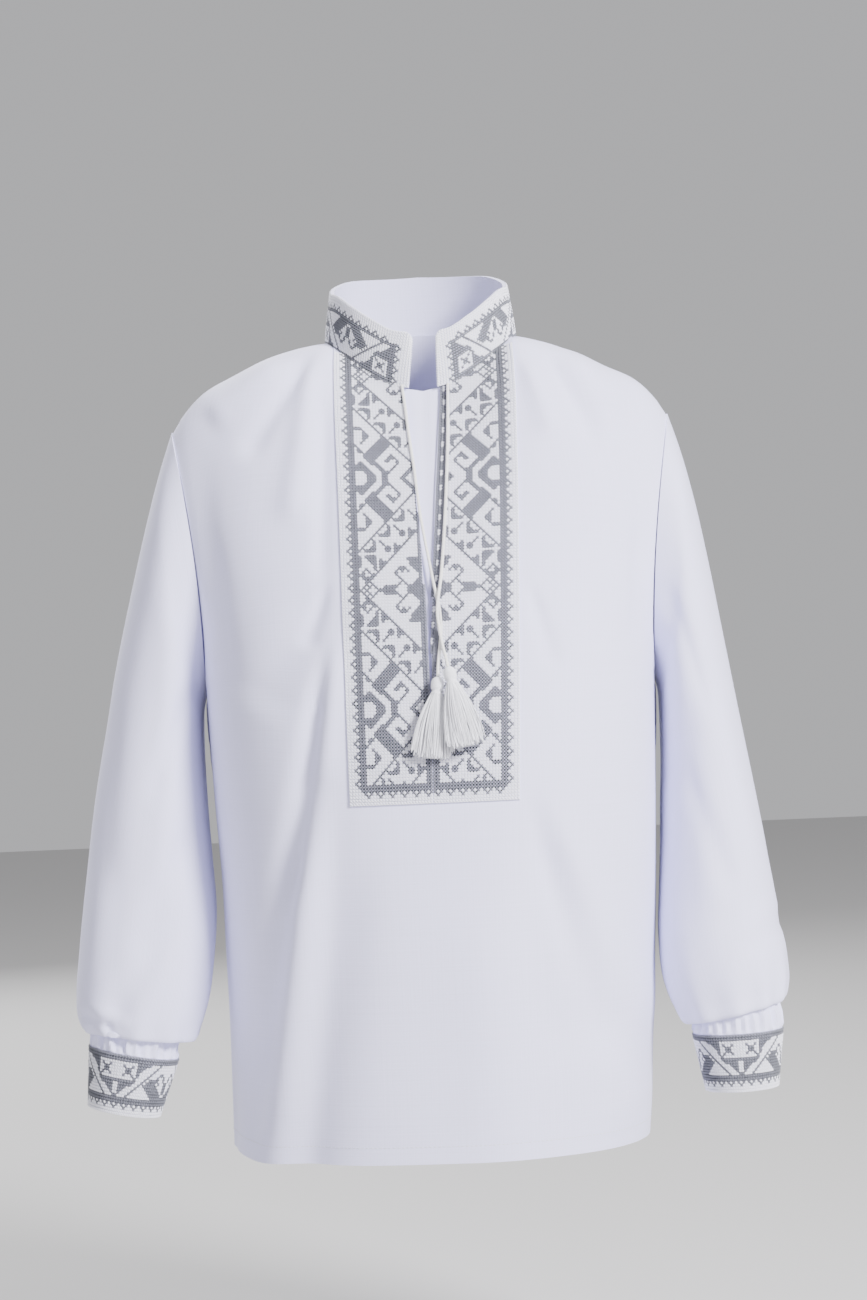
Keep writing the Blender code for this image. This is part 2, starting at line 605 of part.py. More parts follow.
def add_sleeve(name, side, material):
    grid = sleeve_rings(side)
    if side < 0:
        grid = grid[:, ::-1]
    normals = grid_normals(grid, closed=True)
    outwards = unit(grid[1] - grid[0])
    first = normals[0] - np.sum(normals[0] * outwards, 1)[:, None] * outwards
    normals[0] = unit(first)
    axis = unit(np.array(CUFF[side]["top"]) - np.array(CUFF[side]["foot"]))
    normals[-1] = unit(grid[-1] - grid[-1].mean(0))
    normals[-1] -= np.outer(normals[-1] @ axis, axis)
    inner = grid - normals * WALL
    rows, columns = grid.shape[:2]
    return add_wall(name, grid, inner, grid_quads(rows, columns, closed=True), material)


def add_cuff(name, side, material):
    """An open band. Its far end passes over its near end at the back, where the button is."""
    start, sweep = CUFF_START, 2 * math.pi + CUFF_LAP
    turn = start - math.pi - np.linspace(0, sweep, CUFF_COLUMNS + 1)
    done = (start - math.pi - turn) / sweep
    rise = [1 - share * CUFF_LAP / sweep for share in CUFF_LAP_RISE]
    lift = CUFF_LAP_LIFT * ease(*rise, done)
    rows = []
    for k in range(CUFF_ROWS + 1):
        ring = cuff_ring(side, k / CUFF_ROWS, turn)
        middle = cuff_ring(side, k / CUFF_ROWS, np.array([0.0, math.pi])).mean(0)
        rows.append(ring + unit(ring - middle) * lift[:, None])
    grid = np.array(rows)
    if side > 0:
        grid = grid[:, ::-1]
    inner = inner_skin(grid, CUFF_WALL)
    return add_wall(name, grid, inner, grid_quads(*grid.shape[:2]), material)


def add_button(name, side, material):
    """A round button with a raised rim, flat against the middle of the cuff's lap."""
    turn = CUFF_START - 3 * math.pi - CUFF_LAP * BUTTON_ON_LAP
    spot = cuff_ring(side, 0.5, np.array([turn]))[0]
    middle = cuff_ring(side, 0.5, np.array([0.0, math.pi])).mean(0)
    step = cuff_ring(side, 0.5, np.array([turn + 0.01]))[0] - spot
    axis = unit(np.array(CUFF[side]["foot"]) - np.array(CUFF[side]["top"]))
    out = unit(np.cross(step, axis))
    if out @ (spot - middle) < 0:
        out = -out
    bulge = BUTTON_RADIUS**2 / (2 * CUFF_FOOT[1])
    seat = spot + out * (CUFF_LAP_LIFT + SEAM_GAP + bulge)
    turns = 2 * math.pi * np.arange(BUTTON_SIDES) / BUTTON_SIDES
    u = unit(np.cross(axis, out))
    v = np.cross(out, u)
    rim = BUTTON_RADIUS - BUTTON_RIM_WIDE
    profile = (
        (0.0, BUTTON_RADIUS * 0.8), (BUTTON_RIM, BUTTON_RADIUS), (BUTTON_THICK - BUTTON_RIM, BUTTON_RADIUS),
        (BUTTON_THICK, rim), (BUTTON_THICK - BUTTON_RIM, rim - BUTTON_BEVEL),
    )
    points, faces = [], []
    for high, radius in profile:
        points += [seat + out * high + radius * (math.cos(a) * u + math.sin(a) * v) for a in turns]
    n = BUTTON_SIDES
    for r in range(len(profile) - 1):
        for c in range(n):
            d = (c + 1) % n
            faces.append((r * n + c, r * n + d, (r + 1) * n + d, (r + 1) * n + c))
    faces.append(tuple(reversed(range(n))))
    faces.append(tuple((len(profile) - 1) * n + c for c in range(n)))
    obj = add_object(name, points, faces, material)
    mesh = bmesh.new()
    mesh.from_mesh(obj.data)
    bmesh.ops.recalc_face_normals(mesh, faces=mesh.faces)
    mesh.to_mesh(obj.data)
    mesh.free()
    return obj


def add_collar(name, material):
    """The stand collar, from the neckline to the rim, between its two front ends."""
    rows = []
    for up in np.linspace(0, 1, COLLAR_ROWS + 1):
        wide = float(follow(up, COLLAR["up"], COLLAR["wide"]))
        deep = float(follow(up, COLLAR["up"], COLLAR["deep"]))
        ends_x = [low + (high - low) * up for low, high in (COLLAR_END_X[-1], COLLAR_END_X[1])]
        left, right = (math.asin((x - NECK_X) / wide) for x in ends_x)
        row = []
        for angle in np.linspace(right, 2 * math.pi + left, COLLAR_COLUMNS + 1):
            from_front = math.degrees(abs(math.remainder(angle, 2 * math.pi)))
            z = float(follow(from_front, NECK["angle"], NECK["z"])) + 2 * SEAM_GAP
            z += COLLAR_OVER_BIB * (1 - ease(*COLLAR_OVER_BIB_ANGLES, from_front))
            z += up * float(follow(from_front, COLLAR_HEIGHT["angle"], COLLAR_HEIGHT["high"]))
            row.append((NECK_X + wide * math.sin(angle), NECK_Y - deep * math.cos(angle), z))
        rows.append(row)
    grid = np.array(rows)
    inner = inner_skin(grid, COLLAR_WALL)
    inner[0, :, 2] = grid[0, :, 2]
    return add_wall(name, grid, inner, grid_quads(*grid.shape[:2]), material)


class Ground:
    """The front panel's outer skin, closed over its slit, which the bib, guard and cords are laid on."""

    def __init__(self):
        grid = panel(-1, BODY_COLUMNS, NECK_COLUMNS, BODY_ROWS_Z, True, FRONT_FOLDS)
        rows, columns = grid.shape[:2]
        quads = grid_quads(rows, columns, turned=columns // 2)
        self.tree = BVHTree.FromPolygons([Vector(p) for p in grid.reshape(-1, 3)], quads)
        self.grid, self.grid_normals = grid, grid_normals(grid)
        self.points, self.normals = grid.reshape(-1, 3), self.grid_normals.reshape(-1, 3)

    def at(self, x, z):
        """The point and the smooth normal of the skin at a place in the front view."""
        hit, _, face, _ = self.tree.ray_cast(Vector((x, -1.0, z)), Vector((0, 1, 0)))
        if hit is None:
            hit, _, face, _ = self.tree.find_nearest(Vector((x, NECK_Y - NECK_DEEP, z)))
        near = np.argsort(np.linalg.norm(self.points - np.array(hit), axis=1))[:6]
        weight = 1 / (np.linalg.norm(self.points[near] - np.array(hit), axis=1) + 1e-4)
        return np.array(hit), unit((self.normals[near] * weight[:, None]).sum(0))

    def on_row(self, row, x):
        """The point and normal of one of the panel's rows at a distance x from the middle."""
        line, normals = self.grid[row], self.grid_normals[row]
        if row == len(self.grid) - 1:
            share = BIB_TOP_DROP / np.linalg.norm(self.grid[row] - self.grid[row - 1], axis=1)[:, None]
            line = line + (self.grid[row - 1] - line) * share
        spot = [np.interp(x, line[:, 0], line[:, k]) for k in range(3)]
        normal = [np.interp(x, line[:, 0], normals[:, k]) for k in range(3)]
        return np.array(spot), unit(normal)


def neck_z_at(x):
    """The neckline's height above a place in the front view."""
    angle = math.asin(min(max((x - NECK_X) / NECK_WIDE, -0.99), 0.99))
    return float(follow(abs(math.degrees(angle)), NECK["angle"], NECK["z"]))


def bib_gap(z):
    """The clearance under the embroidered halves, which widens where the panel turns over the shoulder."""
    return LAY_GAP + NECK_LIFT * float(ease(NECK_LIFT_Z[0], NECK_LIFT_Z[1], z))


def bib_place(side, row, c, ground):
    """The place of a point of an embroidered half: on a row of the panel, c across from the slit."""
    z = ground.grid[row, BODY_COLUMNS, 2]
    for _ in range(4):
        near = follow(z, BIB["z"], BIB["left_in" if side < 0 else "right_in"])
        far = follow(z, BIB["z"], BIB["left_out" if side < 0 else "right_out"])
        x = float(near + (far - near) * c)
        z = ground.on_row(row, x)[0][2]
    return x, z


def add_bib(name, side, ground, material):
    """An embroidered half, laid on the front panel row by row. The right half turns in along the slit."""
    strip = (1.0, 0.5) if side > 0 else ()
    outer, inner = [], []
    for row in range(BODY_ROWS_Z.index(BIB_FOOT_Z), len(ground.grid)):
        places = []
        x, z = bib_place(side, row, 0.0, ground)
        wide = max(float(follow(z, BIB["z"], BIB["strip"])), STRIP_LEAST)
        for turned in strip:
            drop = STRIP_DROP * turned * min(1.0, wide / STRIP_FULL)
            places.append((x - wide * turned, drop))
        places += [(bib_place(side, row, c / BIB_COLUMNS, ground)[0], 0.0) for c in range(BIB_COLUMNS + 1)]
        row_out, row_in = [], []
        if side < 0:
            places.reverse()
        for x, drop in places:
            spot, normal = ground.on_row(row, x)
            under = bib_gap(spot[2]) - drop
            row_out.append(spot + normal * (under + BIB_WALL))
            row_in.append(spot + normal * under)
        outer.append(row_out)
        inner.append(row_in)
    outer, inner = np.array(outer), np.array(inner)
    rows, columns = outer.shape[:2]
    quads = grid_quads(rows, columns, turned=columns if side < 0 else 0)
    return add_wall(name, outer, inner, quads, material)


def add_guard(name, ground, material):
    """The plain underlay behind the slit, from the front panel's points moved in."""
    outer, inner = [], []
    places = np.linspace(GUARD["left"], GUARD["right"], GUARD_COLUMNS + 1)
    for z in np.linspace(GUARD["foot"], GUARD["top"], GUARD_ROWS + 1):
        row = [ground.at(x, min(z, neck_z_at(x) - BIB_TOP_DROP)) for x in places]
        outer.append([spot - normal * (WALL + GUARD_GAP) for spot, normal in row])
        inner.append([spot - normal * (WALL + GUARD_GAP + GUARD_WALL) for spot, normal in row])
    outer, inner = np.array(outer), np.array(inner)
    return add_wall(name, outer, inner, grid_quads(*outer.shape[:2]), material)


def cord_route(side, ground):
    """The cord's middle line, laid on the bib along its table's smooth curve."""
    rows = CORD[side]
    knots = np.concatenate([[0], np.cumsum(np.hypot(np.diff(rows["x"]), np.diff(rows["z"])))])
    route = []
    for t in np.linspace(0, knots[-1], CORD_POINTS):
        x, z, lift = (float(follow(t, knots, rows[name])) for name in CORD_COLUMNS.split())
        spot, normal = ground.at(x, z)
        route.append(spot + normal * (bib_gap(z) + BIB_WALL + CORD_CLEAR + CORD_RADIUS + lift))
    return route


def add_cord(name, side, ground, material):
    curve = bpy.data.curves.new(name, "CURVE")
    curve.dimensions = "3D"
    curve.bevel_depth = CORD_RADIUS
    curve.bevel_resolution = 2
    curve.use_fill_caps = True
    route = cord_route(side, ground)
    spline = curve.splines.new("POLY")
    spline.points.add(len(route) - 1)
    for point, place in zip(spline.points, route):
        point.co = (*place, 1.0)
    curve.materials.append(material)
    obj = bpy.data.objects.new(name, curve)
    bpy.context.scene.collection.objects.link(obj)
    return obj


def disc_of_square(a, b):
    """A point of the unit disc for a point of the square from -1 to 1."""
    return a * math.sqrt(1 - b * b / 2), b * math.sqrt(1 - a * a / 2)


def add_tassel(name, side, ground, material):
    """A bound head whose foot is a grid of cells, and a strand drawn out of each cell.

    The strands' sides are split the same way on both sides of each gap, so that they stay apart.
    """
    size = TASSEL[side]
    spot, normal = ground.at(*size["head"])
    head = spot + normal * (LAY_GAP + BIB_WALL + size["off"])
    spot, foot_normal = ground.at(*size["foot"])
    foot = spot + foot_normal * (LAY_GAP + BIB_WALL + SKIRT_HALF_DEEP + size["foot_off"])
    down = unit(foot - head)
    wide = unit(np.cross(down, normal))
    if wide[0] < 0:
        wide = -wide
    deep = np.cross(wide, down)
    n = STRANDS_ACROSS
    corners = [(2 * i / n - 1, 2 * j / n - 1) for i in range(n + 1) for j in range(n + 1)]

    def place(a, b, t, swell):
        x, y = disc_of_square(a, b)
        return head + down * HEAD_LENGTH * t + (wide * x + deep * y) * HEAD_RADIUS * swell

    mesh = bmesh.new()
    layers = [
        [mesh.verts.new(place(a, b, t, swell)) for a, b in corners]
        for t, swell in (HEAD_PROFILE[0], HEAD_PROFILE[-1])
    ]
    ring = [i for i, (a, b) in enumerate(corners) if 1 in (abs(a), abs(b))]
    ring.sort(key=lambda i: math.atan2(corners[i][1], corners[i][0]))
    between = [
        {i: mesh.verts.new(place(*corners[i], t, swell)) for i in ring}
        for t, swell in HEAD_PROFILE[1:-1]
    ]
    rings = [{i: layers[0][i] for i in ring}, *between, {i: layers[1][i] for i in ring}]
    for upper, lower in zip(rings, rings[1:]):
        for k, i in enumerate(ring):
            j = ring[(k + 1) % len(ring)]
            mesh.faces.new((upper[i], upper[j], lower[j], lower[i]))
    cells = []
    for i in range(n):
        for j in range(n):
            a = i * (n + 1) + j
            quad = (a, a + 1, a + n + 2, a + n + 1)
            mesh.faces.new([layers[0][k] for k in reversed(quad)])
            cells.append(mesh.faces.new([layers[1][k] for k in quad]))
    bmesh.ops.inset_individual(mesh, faces=cells, thickness=STRAND_INSET)
    for index, cell in enumerate(cells):
        i, j = divmod(index, n)
        a, b = 2 * (i + 0.5) / n - 1, 2 * (j + 0.5) / n - 1
        longer = SKIRT_UNEVEN * math.sin(UNEVEN_STEPS[0] * i + UNEVEN_STEPS[1] * j) - SKIRT_CURVE * a * a
        tip = foot + wide * size["half"] * a + deep * SKIRT_HALF_DEEP * b + down * longer
        top, low = [], []
        for sx, sy in ((-1, -1), (1, -1), (1, 1), (-1, 1)):
            corner = place(a + sx / n, b + sy / n, 1.0, HEAD_PROFILE[-1][1])
            far = [np.linalg.norm(corner - np.array(vert.co)) for vert in cell.verts]
            top.append(cell.verts[int(np.argmin(far))])
            low.append(mesh.verts.new(tip + wide * sx * STRAND_FOOT_WIDE + deep * sy * STRAND_FOOT_DEEP))
        mesh.faces.remove(cell)
        mesh.faces.new(low)
        for k, m in ((0, 1), (3, 2), (0, 3), (1, 2)):
            mesh.faces.new((top[k], top[m], low[m]))
            mesh.faces.new((top[k], low[m], low[k]))
    bmesh.ops.recalc_face_normals(mesh, faces=mesh.faces)
    data = bpy.data.meshes.new(name)
    mesh.to_mesh(data)
    mesh.free()
    data.materials.append(material)
    obj = bpy.data.objects.new(name, data)
    bpy.context.scene.collection.objects.link(obj)
    return obj


def main():
    for obj in list(bpy.data.objects):
        bpy.data.objects.remove(obj, do_unlink=True)
    cloth = (0.78, 0.78, 0.86)
    stitched = (0.55, 0.56, 0.61)
    back_rows_z = tuple(z for z in BODY_ROWS_Z if z != SLIT_FOOT_Z)
    add_body_panel("front", -1, True, FRONT_FOLDS, BODY_ROWS_Z, material_of("front cloth", cloth, 0.75))
    add_body_panel("back", 1, False, BACK_FOLDS, back_rows_z, material_of("back cloth", cloth, 0.75))
    ground = Ground()
    glossy = (0.80, 0.80, 0.82)
    thread = (0.76, 0.77, 0.82)
    for side, word in ((-1, "left"), (1, "right")):
        add_sleeve(f"sleeve_{word}", side, material_of(f"{word} sleeve cloth", cloth, 0.75))
        add_cuff(f"cuff_{word}", side, material_of(f"{word} cuff embroidery", stitched, 0.70))
        add_button(f"cuff_button_{word}", side, material_of(f"{word} button", glossy, 0.30))
        add_bib(f"bib_{word}", side, ground, material_of(f"{word} bib embroidery", stitched, 0.70))
        add_cord(f"tie_{word}", side, ground, material_of(f"{word} tie cord", thread, 0.60))
        add_tassel(f"tassel_{word}", side, ground, material_of(f"{word} tassel thread", thread, 0.50))
    add_collar("collar", material_of("collar embroidery", stitched, 0.70))
    add_guard("slit_guard", ground, material_of("guard cloth", cloth, 0.75))


main()
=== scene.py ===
"""The looks of the embroidered shirt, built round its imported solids.

Metres, +Z up, front towards -Y, as in the solids. Each piece of cloth is a fine shell made from the
same tables as its solid, with the smaller folds added. The embroidery is worked stitch by stitch on
charts of squares that are drawn by rules, in the manner of a traditional geometric pattern.
"""

import math

import bpy
import numpy as np
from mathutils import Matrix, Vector
from mathutils.bvhtree import BVHTree


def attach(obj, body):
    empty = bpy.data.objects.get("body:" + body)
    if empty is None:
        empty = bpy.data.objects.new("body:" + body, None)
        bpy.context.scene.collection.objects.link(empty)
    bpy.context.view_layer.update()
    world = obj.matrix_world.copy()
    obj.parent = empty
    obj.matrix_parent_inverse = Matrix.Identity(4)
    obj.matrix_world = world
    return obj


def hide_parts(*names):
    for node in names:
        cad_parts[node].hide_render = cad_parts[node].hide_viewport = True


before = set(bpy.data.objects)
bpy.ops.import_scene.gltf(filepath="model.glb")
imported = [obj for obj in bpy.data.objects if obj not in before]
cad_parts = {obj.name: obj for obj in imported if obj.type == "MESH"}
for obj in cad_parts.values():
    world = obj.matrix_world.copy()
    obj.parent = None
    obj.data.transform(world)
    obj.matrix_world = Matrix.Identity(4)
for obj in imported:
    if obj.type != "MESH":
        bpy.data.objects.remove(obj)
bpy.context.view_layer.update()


# Left and right as seen from the front.
SIDES = ((-1, "left"), (1, "right"))

# The camera stands level, straight in front, and is turned a little about its own axis.
CAMERA_PLACE = (0.0012, -2.04, -0.185)
CAMERA_ROLL = math.radians(2.4)
CAMERA_LENS, CAMERA_SENSOR = 94.15, 36.0

# The studio: a wide floor below the shirt, even light all round, and lamps aimed at the shirt. A lamp's
# size is in metres, its power in watts and its tone in linear light.
FLOOR_Z, FLOOR_SIDE, FLOOR_BACK = -0.62, 4.0, 6.0
FLOOR_COLOUR, STUDIO_COLOUR, STUDIO_STRENGTH = "#C2C1C0", "#E6E6E9", 0.66
LIGHT_AIM = (0.0, 0.0, -0.2)
LIGHTS = (
    ("key light", (1.45, -1.65, 0.85), 0.7, 160, (0.975, 0.97, 1.0)),
    ("fill light", (-1.7, -1.7, 0.6), 1.8, 14, (0.97, 0.96, 1.0)),
    ("top light", (-0.2, 0.6, 1.9), 1.0, 45, (0.99, 0.99, 1.0)),
    ("back light", (-0.9, 2.3, 0.7), 1.6, 40, (0.99, 0.99, 1.0)),
)

# Thicknesses and clearances.
WALL = 0.0012
BIB_WALL = 0.0013
COLLAR_WALL = 0.0020
CUFF_WALL = 0.0016
GUARD_WALL = 0.0010
SEAM_GAP = 0.0003
LAY_GAP = 0.0006
GUARD_GAP = 0.0010
SLEEVE_CLEAR = 0.0016

# Grid sizes. The sleeves meet the body point for point, so they share the steps round the armhole.
BODY_COLUMNS = 11
NECK_COLUMNS = 6
LOW_STEPS, HIGH_STEPS = 5, 6
SECTION_POINTS = 121

# Heights that the rest hangs from.
HEM_Z = -0.476
SLIT_FOOT_Z = -0.225
UNDERARM_Z = -0.205
BIB_FOOT_Z = -0.2715
BODY_ROWS_Z = (HEM_Z, -0.445, -0.405, -0.360, -0.315, BIB_FOOT_Z, SLIT_FOOT_Z, UNDERARM_Z)
SEAM_SPREAD, SEAM_SPREAD_DROP = 0.006, 0.05


def table(columns, *rows):
    """A table as one array for each named column."""
    return dict(zip(columns.split(), np.array(rows, float).T))


# Level sections of the body, hem to chest: half widths, depths and the power of the superellipse.
BODY = table(
    "z left right front back power",
    (-0.476, 0.1305, 0.1188, 0.115, 0.080, 2.35),
    (-0.443, 0.1303, 0.1208, 0.117, 0.079, 2.35),
    (-0.400, 0.1300, 0.1240, 0.119, 0.078, 2.35),
    (-0.330, 0.1303, 0.1280, 0.122, 0.076, 2.40),
    (-0.256, 0.1335, 0.1308, 0.121, 0.075, 2.50),
    (-0.205, 0.1350, 0.1322, 0.113, 0.078, 2.65),
    (-0.170, 0.1362, 0.1335, 0.104, 0.082, 2.80),
    (-0.1265, 0.1385, 0.1360, 0.087, 0.085, 3.00),
)

# Armholes: their top and foot in the front view, middle and half depth, and how far they dip inwards.
ARMHOLE = {
    -1: {"top": (0.150, -0.048), "foot": (0.1350, UNDERARM_Z), "y": 0.003, "deep": 0.047, "dip": 0.0055},
    1: {"top": (0.147, -0.049), "foot": (0.1322, UNDERARM_Z), "y": 0.003, "deep": 0.047, "dip": 0.0050},
}

# The panel's columns rise to the neckline and the shoulder seam in curves that arrive in these directions.
ARRIVE_AT_NECK = {-1: (0.0, 0.50, 0.86), 1: (0.0, -0.25, 0.97)}
ARRIVE_UP_AT_SEAM = 0.06
ARRIVE_BLEND = 1.6
CORNER_PULL = {-1: 0.0, 1: 0.7}
CORNER_SHARE = 0.25
EVEN_PASSES = {-1: 0, 1: 5}
CHEST_STEP_Z, CHEST_STEP_TURN = 0.004, 0.03
ARMHOLE_KEEP = 0.005
EDGE_PULL_FROM = 0.80

# Shoulder seams in the front view, from the neck outwards.
SHOULDER = {
    -1: table(
        "x z", (0.0547, 0.001), (0.078, -0.002), (0.1005, -0.011), (0.120, -0.020), (0.135, -0.029),
        (0.144, -0.038), (0.150, -0.048),
    ),
    1: table(
        "x z", (0.0547, 0.001), (0.071, -0.002), (0.095, -0.011), (0.1125, -0.020), (0.1305, -0.029),
        (0.142, -0.038), (0.147, -0.049),
    ),
}

# The neckline is an ellipse seen from above. Its height depends on the angle from the front, in degrees.
NECK_X, NECK_Y = 0.0012, 0.012
NECK_WIDE, NECK_DEEP = 0.0548, 0.0535
NECK = table(
    "angle z", (0, -0.0295), (17, -0.0265), (33.5, -0.0180), (50, -0.0090), (62, -0.0038), (77, 0.0010),
    (105, 0.0050), (140, 0.0090), (180, 0.0100),
)

# The collar's ellipse at its base and rim, and its height there by angle. It leans in and is open in front.
COLLAR = table("up wide deep", (0.0, 0.0562, 0.0552), (0.5, 0.0548, 0.0535), (1.0, 0.0528, 0.0512))
COLLAR_HEIGHT = table("angle high", (0, 0.0315), (60, 0.0325), (110, 0.0335), (180, 0.0350))
COLLAR_END_X = {-1: (-0.0068, -0.0040), 1: (0.0098, 0.0106)}
COLLAR_OVER_BIB, COLLAR_OVER_BIB_ANGLES = 0.0034, (62, 85)
COLLAR_COLUMNS = 34

# The embroidered halves in the front view, foot to neck, and the turned-in strip of the right one.
BIB = table(
    "z left_out left_in right_in right_out strip",
    (-0.2715, -0.0495, -0.0028, -0.0020, 0.0463, 0.0),
    (-0.2250, -0.0496, -0.0018, -0.0009, 0.0485, 0.0),
    (-0.2132, -0.0497, -0.0017, 0.0002, 0.0490, 0.0006),
    (-0.1793, -0.0498, -0.0020, 0.0033, 0.0505, 0.0032),
    (-0.1327, -0.0499, -0.0033, 0.0085, 0.0525, 0.0052),
    (-0.0909, -0.0502, -0.0056, 0.0121, 0.0543, 0.0060),
    (-0.0600, -0.0506, -0.0073, 0.0146, 0.0552, 0.0058),
    (-0.0300, -0.0510, -0.0101, 0.0165, 0.0560, 0.0051),
    (0.0000, -0.0510, -0.0101, 0.0165, 0.0560, 0.0051),
)
BIB_COLUMNS = 6
STRIP_DROP, STRIP_LEAST, STRIP_FULL = 0.0017, 0.0004, 0.003
BIB_TOP_DROP = 0.0018
SLIT_INSET = 0.0010
GUARD = {"left": -0.018, "right": 0.026, "top": -0.0290, "foot": -0.236}

# Sleeves as rings, shoulder to cuff. Outer and inner edge in the front view, middle and half depth,
# and the depth of the gathers. The ring at the armhole comes from ARMHOLE.
SLEEVE_COLUMNS = "outer_x outer_z inner_x inner_z y deep gather"
SLEEVE = {
    -1: table(
        SLEEVE_COLUMNS,
        (0.1570, -0.068, 0.1380, -0.216, 0.002, 0.0500, 0),
        (0.1665, -0.100, 0.1385, -0.226, 0.000, 0.0515, 0),
        (0.1762, -0.137, 0.1385, -0.240, -0.002, 0.0505, 0),
        (0.1865, -0.179, 0.1380, -0.258, -0.005, 0.0490, 0),
        (0.1960, -0.224, 0.1370, -0.280, -0.009, 0.0475, 0),
        (0.2045, -0.270, 0.1355, -0.305, -0.014, 0.0460, 0),
        (0.2110, -0.318, 0.1340, -0.333, -0.020, 0.0445, 0),
        (0.2152, -0.354, 0.1360, -0.360, -0.026, 0.0430, 0),
        (0.2172, -0.381, 0.1405, -0.388, -0.031, 0.0405, 0.0004),
        (0.2160, -0.393, 0.1450, -0.401, -0.034, 0.0375, 0.0008),
        (0.2125, -0.3995, 0.1485, -0.4085, -0.037, 0.0330, 0.0010),
        (0.2085, -0.3985, 0.1555, -0.4060, -0.040, 0.0280, 0.0010),
        (0.2085, -0.4030, 0.1592, -0.4120, -0.042, 0.0250, 0.0008),
    ),
    1: table(
        SLEEVE_COLUMNS,
        (0.1535, -0.070, 0.1350, -0.216, 0.002, 0.0500, 0),
        (0.1605, -0.100, 0.1352, -0.226, 0.000, 0.0515, 0),
        (0.1672, -0.137, 0.1350, -0.240, -0.002, 0.0510, 0),
        (0.1738, -0.179, 0.1345, -0.258, -0.004, 0.0500, 0),
        (0.1808, -0.224, 0.1330, -0.280, -0.007, 0.0490, 0),
        (0.1880, -0.270, 0.1315, -0.305, -0.011, 0.0480, 0),
        (0.1945, -0.315, 0.1290, -0.333, -0.017, 0.0465, 0),
        (0.1995, -0.350, 0.1275, -0.360, -0.023, 0.0445, 0),
        (0.2025, -0.376, 0.1290, -0.386, -0.029, 0.0415, 0.0004),
        (0.2020, -0.389, 0.1340, -0.401, -0.033, 0.0375, 0.0008),
        (0.1985, -0.398, 0.1400, -0.4105, -0.037, 0.0330, 0.0010),
        (0.1950, -0.3990, 0.1450, -0.4085, -0.040, 0.0280, 0.0010),
        (0.1955, -0.4060, 0.1453, -0.4110, -0.042, 0.0255, 0.0008),
    ),
}
SLEEVE_POWER = 2.15

# Cuffs: middle of the top and of the foot, half width and half depth there. The lap lies behind, and
# rises over the near end between two shares of its own length before that end.
CUFF = {
    -1: {"top": (-0.1843, -0.0430, -0.4130), "foot": (-0.1915, -0.0450, -0.4475)},
    1: {"top": (0.1704, -0.0430, -0.4153), "foot": (0.1716, -0.0450, -0.4490)},
}
CUFF_TOP = (0.0262, 0.0250)
CUFF_FOOT = (0.0208, 0.0205)
CUFF_TILT = {-1: math.radians(11.8), 1: math.radians(2.0)}
CUFF_LAP = math.radians(32)
CUFF_LAP_LIFT, CUFF_LAP_RISE = CUFF_WALL + LAY_GAP, (1.9, 1.0)
CUFF_START = math.radians(120)
CUFF_COLUMNS = 30

# Folds in the front view: ends, half width at each end, and depth. A ridge is positive. A fold fades in
# and out between two shares of its length at each end, and towards the panel's side edges.
FOLD_COLUMNS = "x0 z0 x1 z1 wide0 wide1 depth"
FOLD_IN, FOLD_OUT, FOLD_EDGE = (-0.08, 0.35), (1.0, 1.25), 0.90
FRONT_FOLDS = table(
    FOLD_COLUMNS,
    (-0.064, -0.262, -0.108, -0.476, 0.012, 0.020, 0.0050),
    (-0.082, -0.300, -0.132, -0.476, 0.012, 0.018, -0.0035),
    (-0.045, -0.290, -0.082, -0.476, 0.012, 0.018, -0.0030),
    (0.050, -0.275, 0.066, -0.400, 0.012, 0.020, -0.0026),
    (0.070, -0.330, 0.098, -0.450, 0.014, 0.020, 0.0026),
    (-0.058, -0.140, -0.092, -0.205, 0.012, 0.016, -0.0024),
    (0.020, -0.330, 0.026, -0.476, 0.018, 0.026, 0.0022),
)
BACK_FOLDS = table(
    FOLD_COLUMNS,
    (-0.060, -0.100, -0.075, -0.476, 0.016, 0.022, 0.0042),
    (-0.022, -0.140, -0.026, -0.476, 0.014, 0.020, -0.0032),
    (0.030, -0.120, 0.036, -0.476, 0.016, 0.022, 0.0040),
    (0.078, -0.150, 0.088, -0.476, 0.014, 0.020, -0.0034),
)

# Tie cords in the front view, neck to tassel, each with how far it is lifted over what it crosses.
CORD_RADIUS, CORD_CLEAR = 0.0009, 0.0006
CORD_POINTS = 40
CORD_COLUMNS = "x z lift"
CORD = {
    -1: table(
        CORD_COLUMNS,
        (-0.0109, -0.0300, 0), (-0.0098, -0.0400, 0), (-0.0086, -0.0530, 0), (-0.0073, -0.0660, 0),
        (-0.0057, -0.0800, 0), (-0.0046, -0.0930, 0), (-0.0033, -0.1070, 0), (-0.0015, -0.1200, 0),
        (0.0005, -0.1330, 0), (0.0025, -0.1460, 0), (0.0043, -0.1560, 0.0004), (0.0056, -0.1635, 0.0006),
        (0.0060, -0.1720, 0.0003), (0.0050, -0.1830, 0), (0.0036, -0.1930, 0.0010), (0.0030, -0.2012, 0.0028),
    ),
    1: table(
        CORD_COLUMNS,
        (0.0161, -0.0300, 0), (0.0155, -0.0440, 0), (0.0147, -0.0600, 0), (0.0137, -0.0760, 0),
        (0.0125, -0.0920, 0), (0.0113, -0.1060, 0), (0.0100, -0.1200, 0), (0.0086, -0.1330, 0.0002),
        (0.0070, -0.1460, 0.0010), (0.0052, -0.1560, 0.0022), (0.0042, -0.1650, 0.0026),
        (0.0050, -0.1745, 0.0022), (0.0066, -0.1850, 0.0026), (0.0080, -0.1915, 0.0048),
        (0.0088, -0.1969, 0.0069),
    ),
}

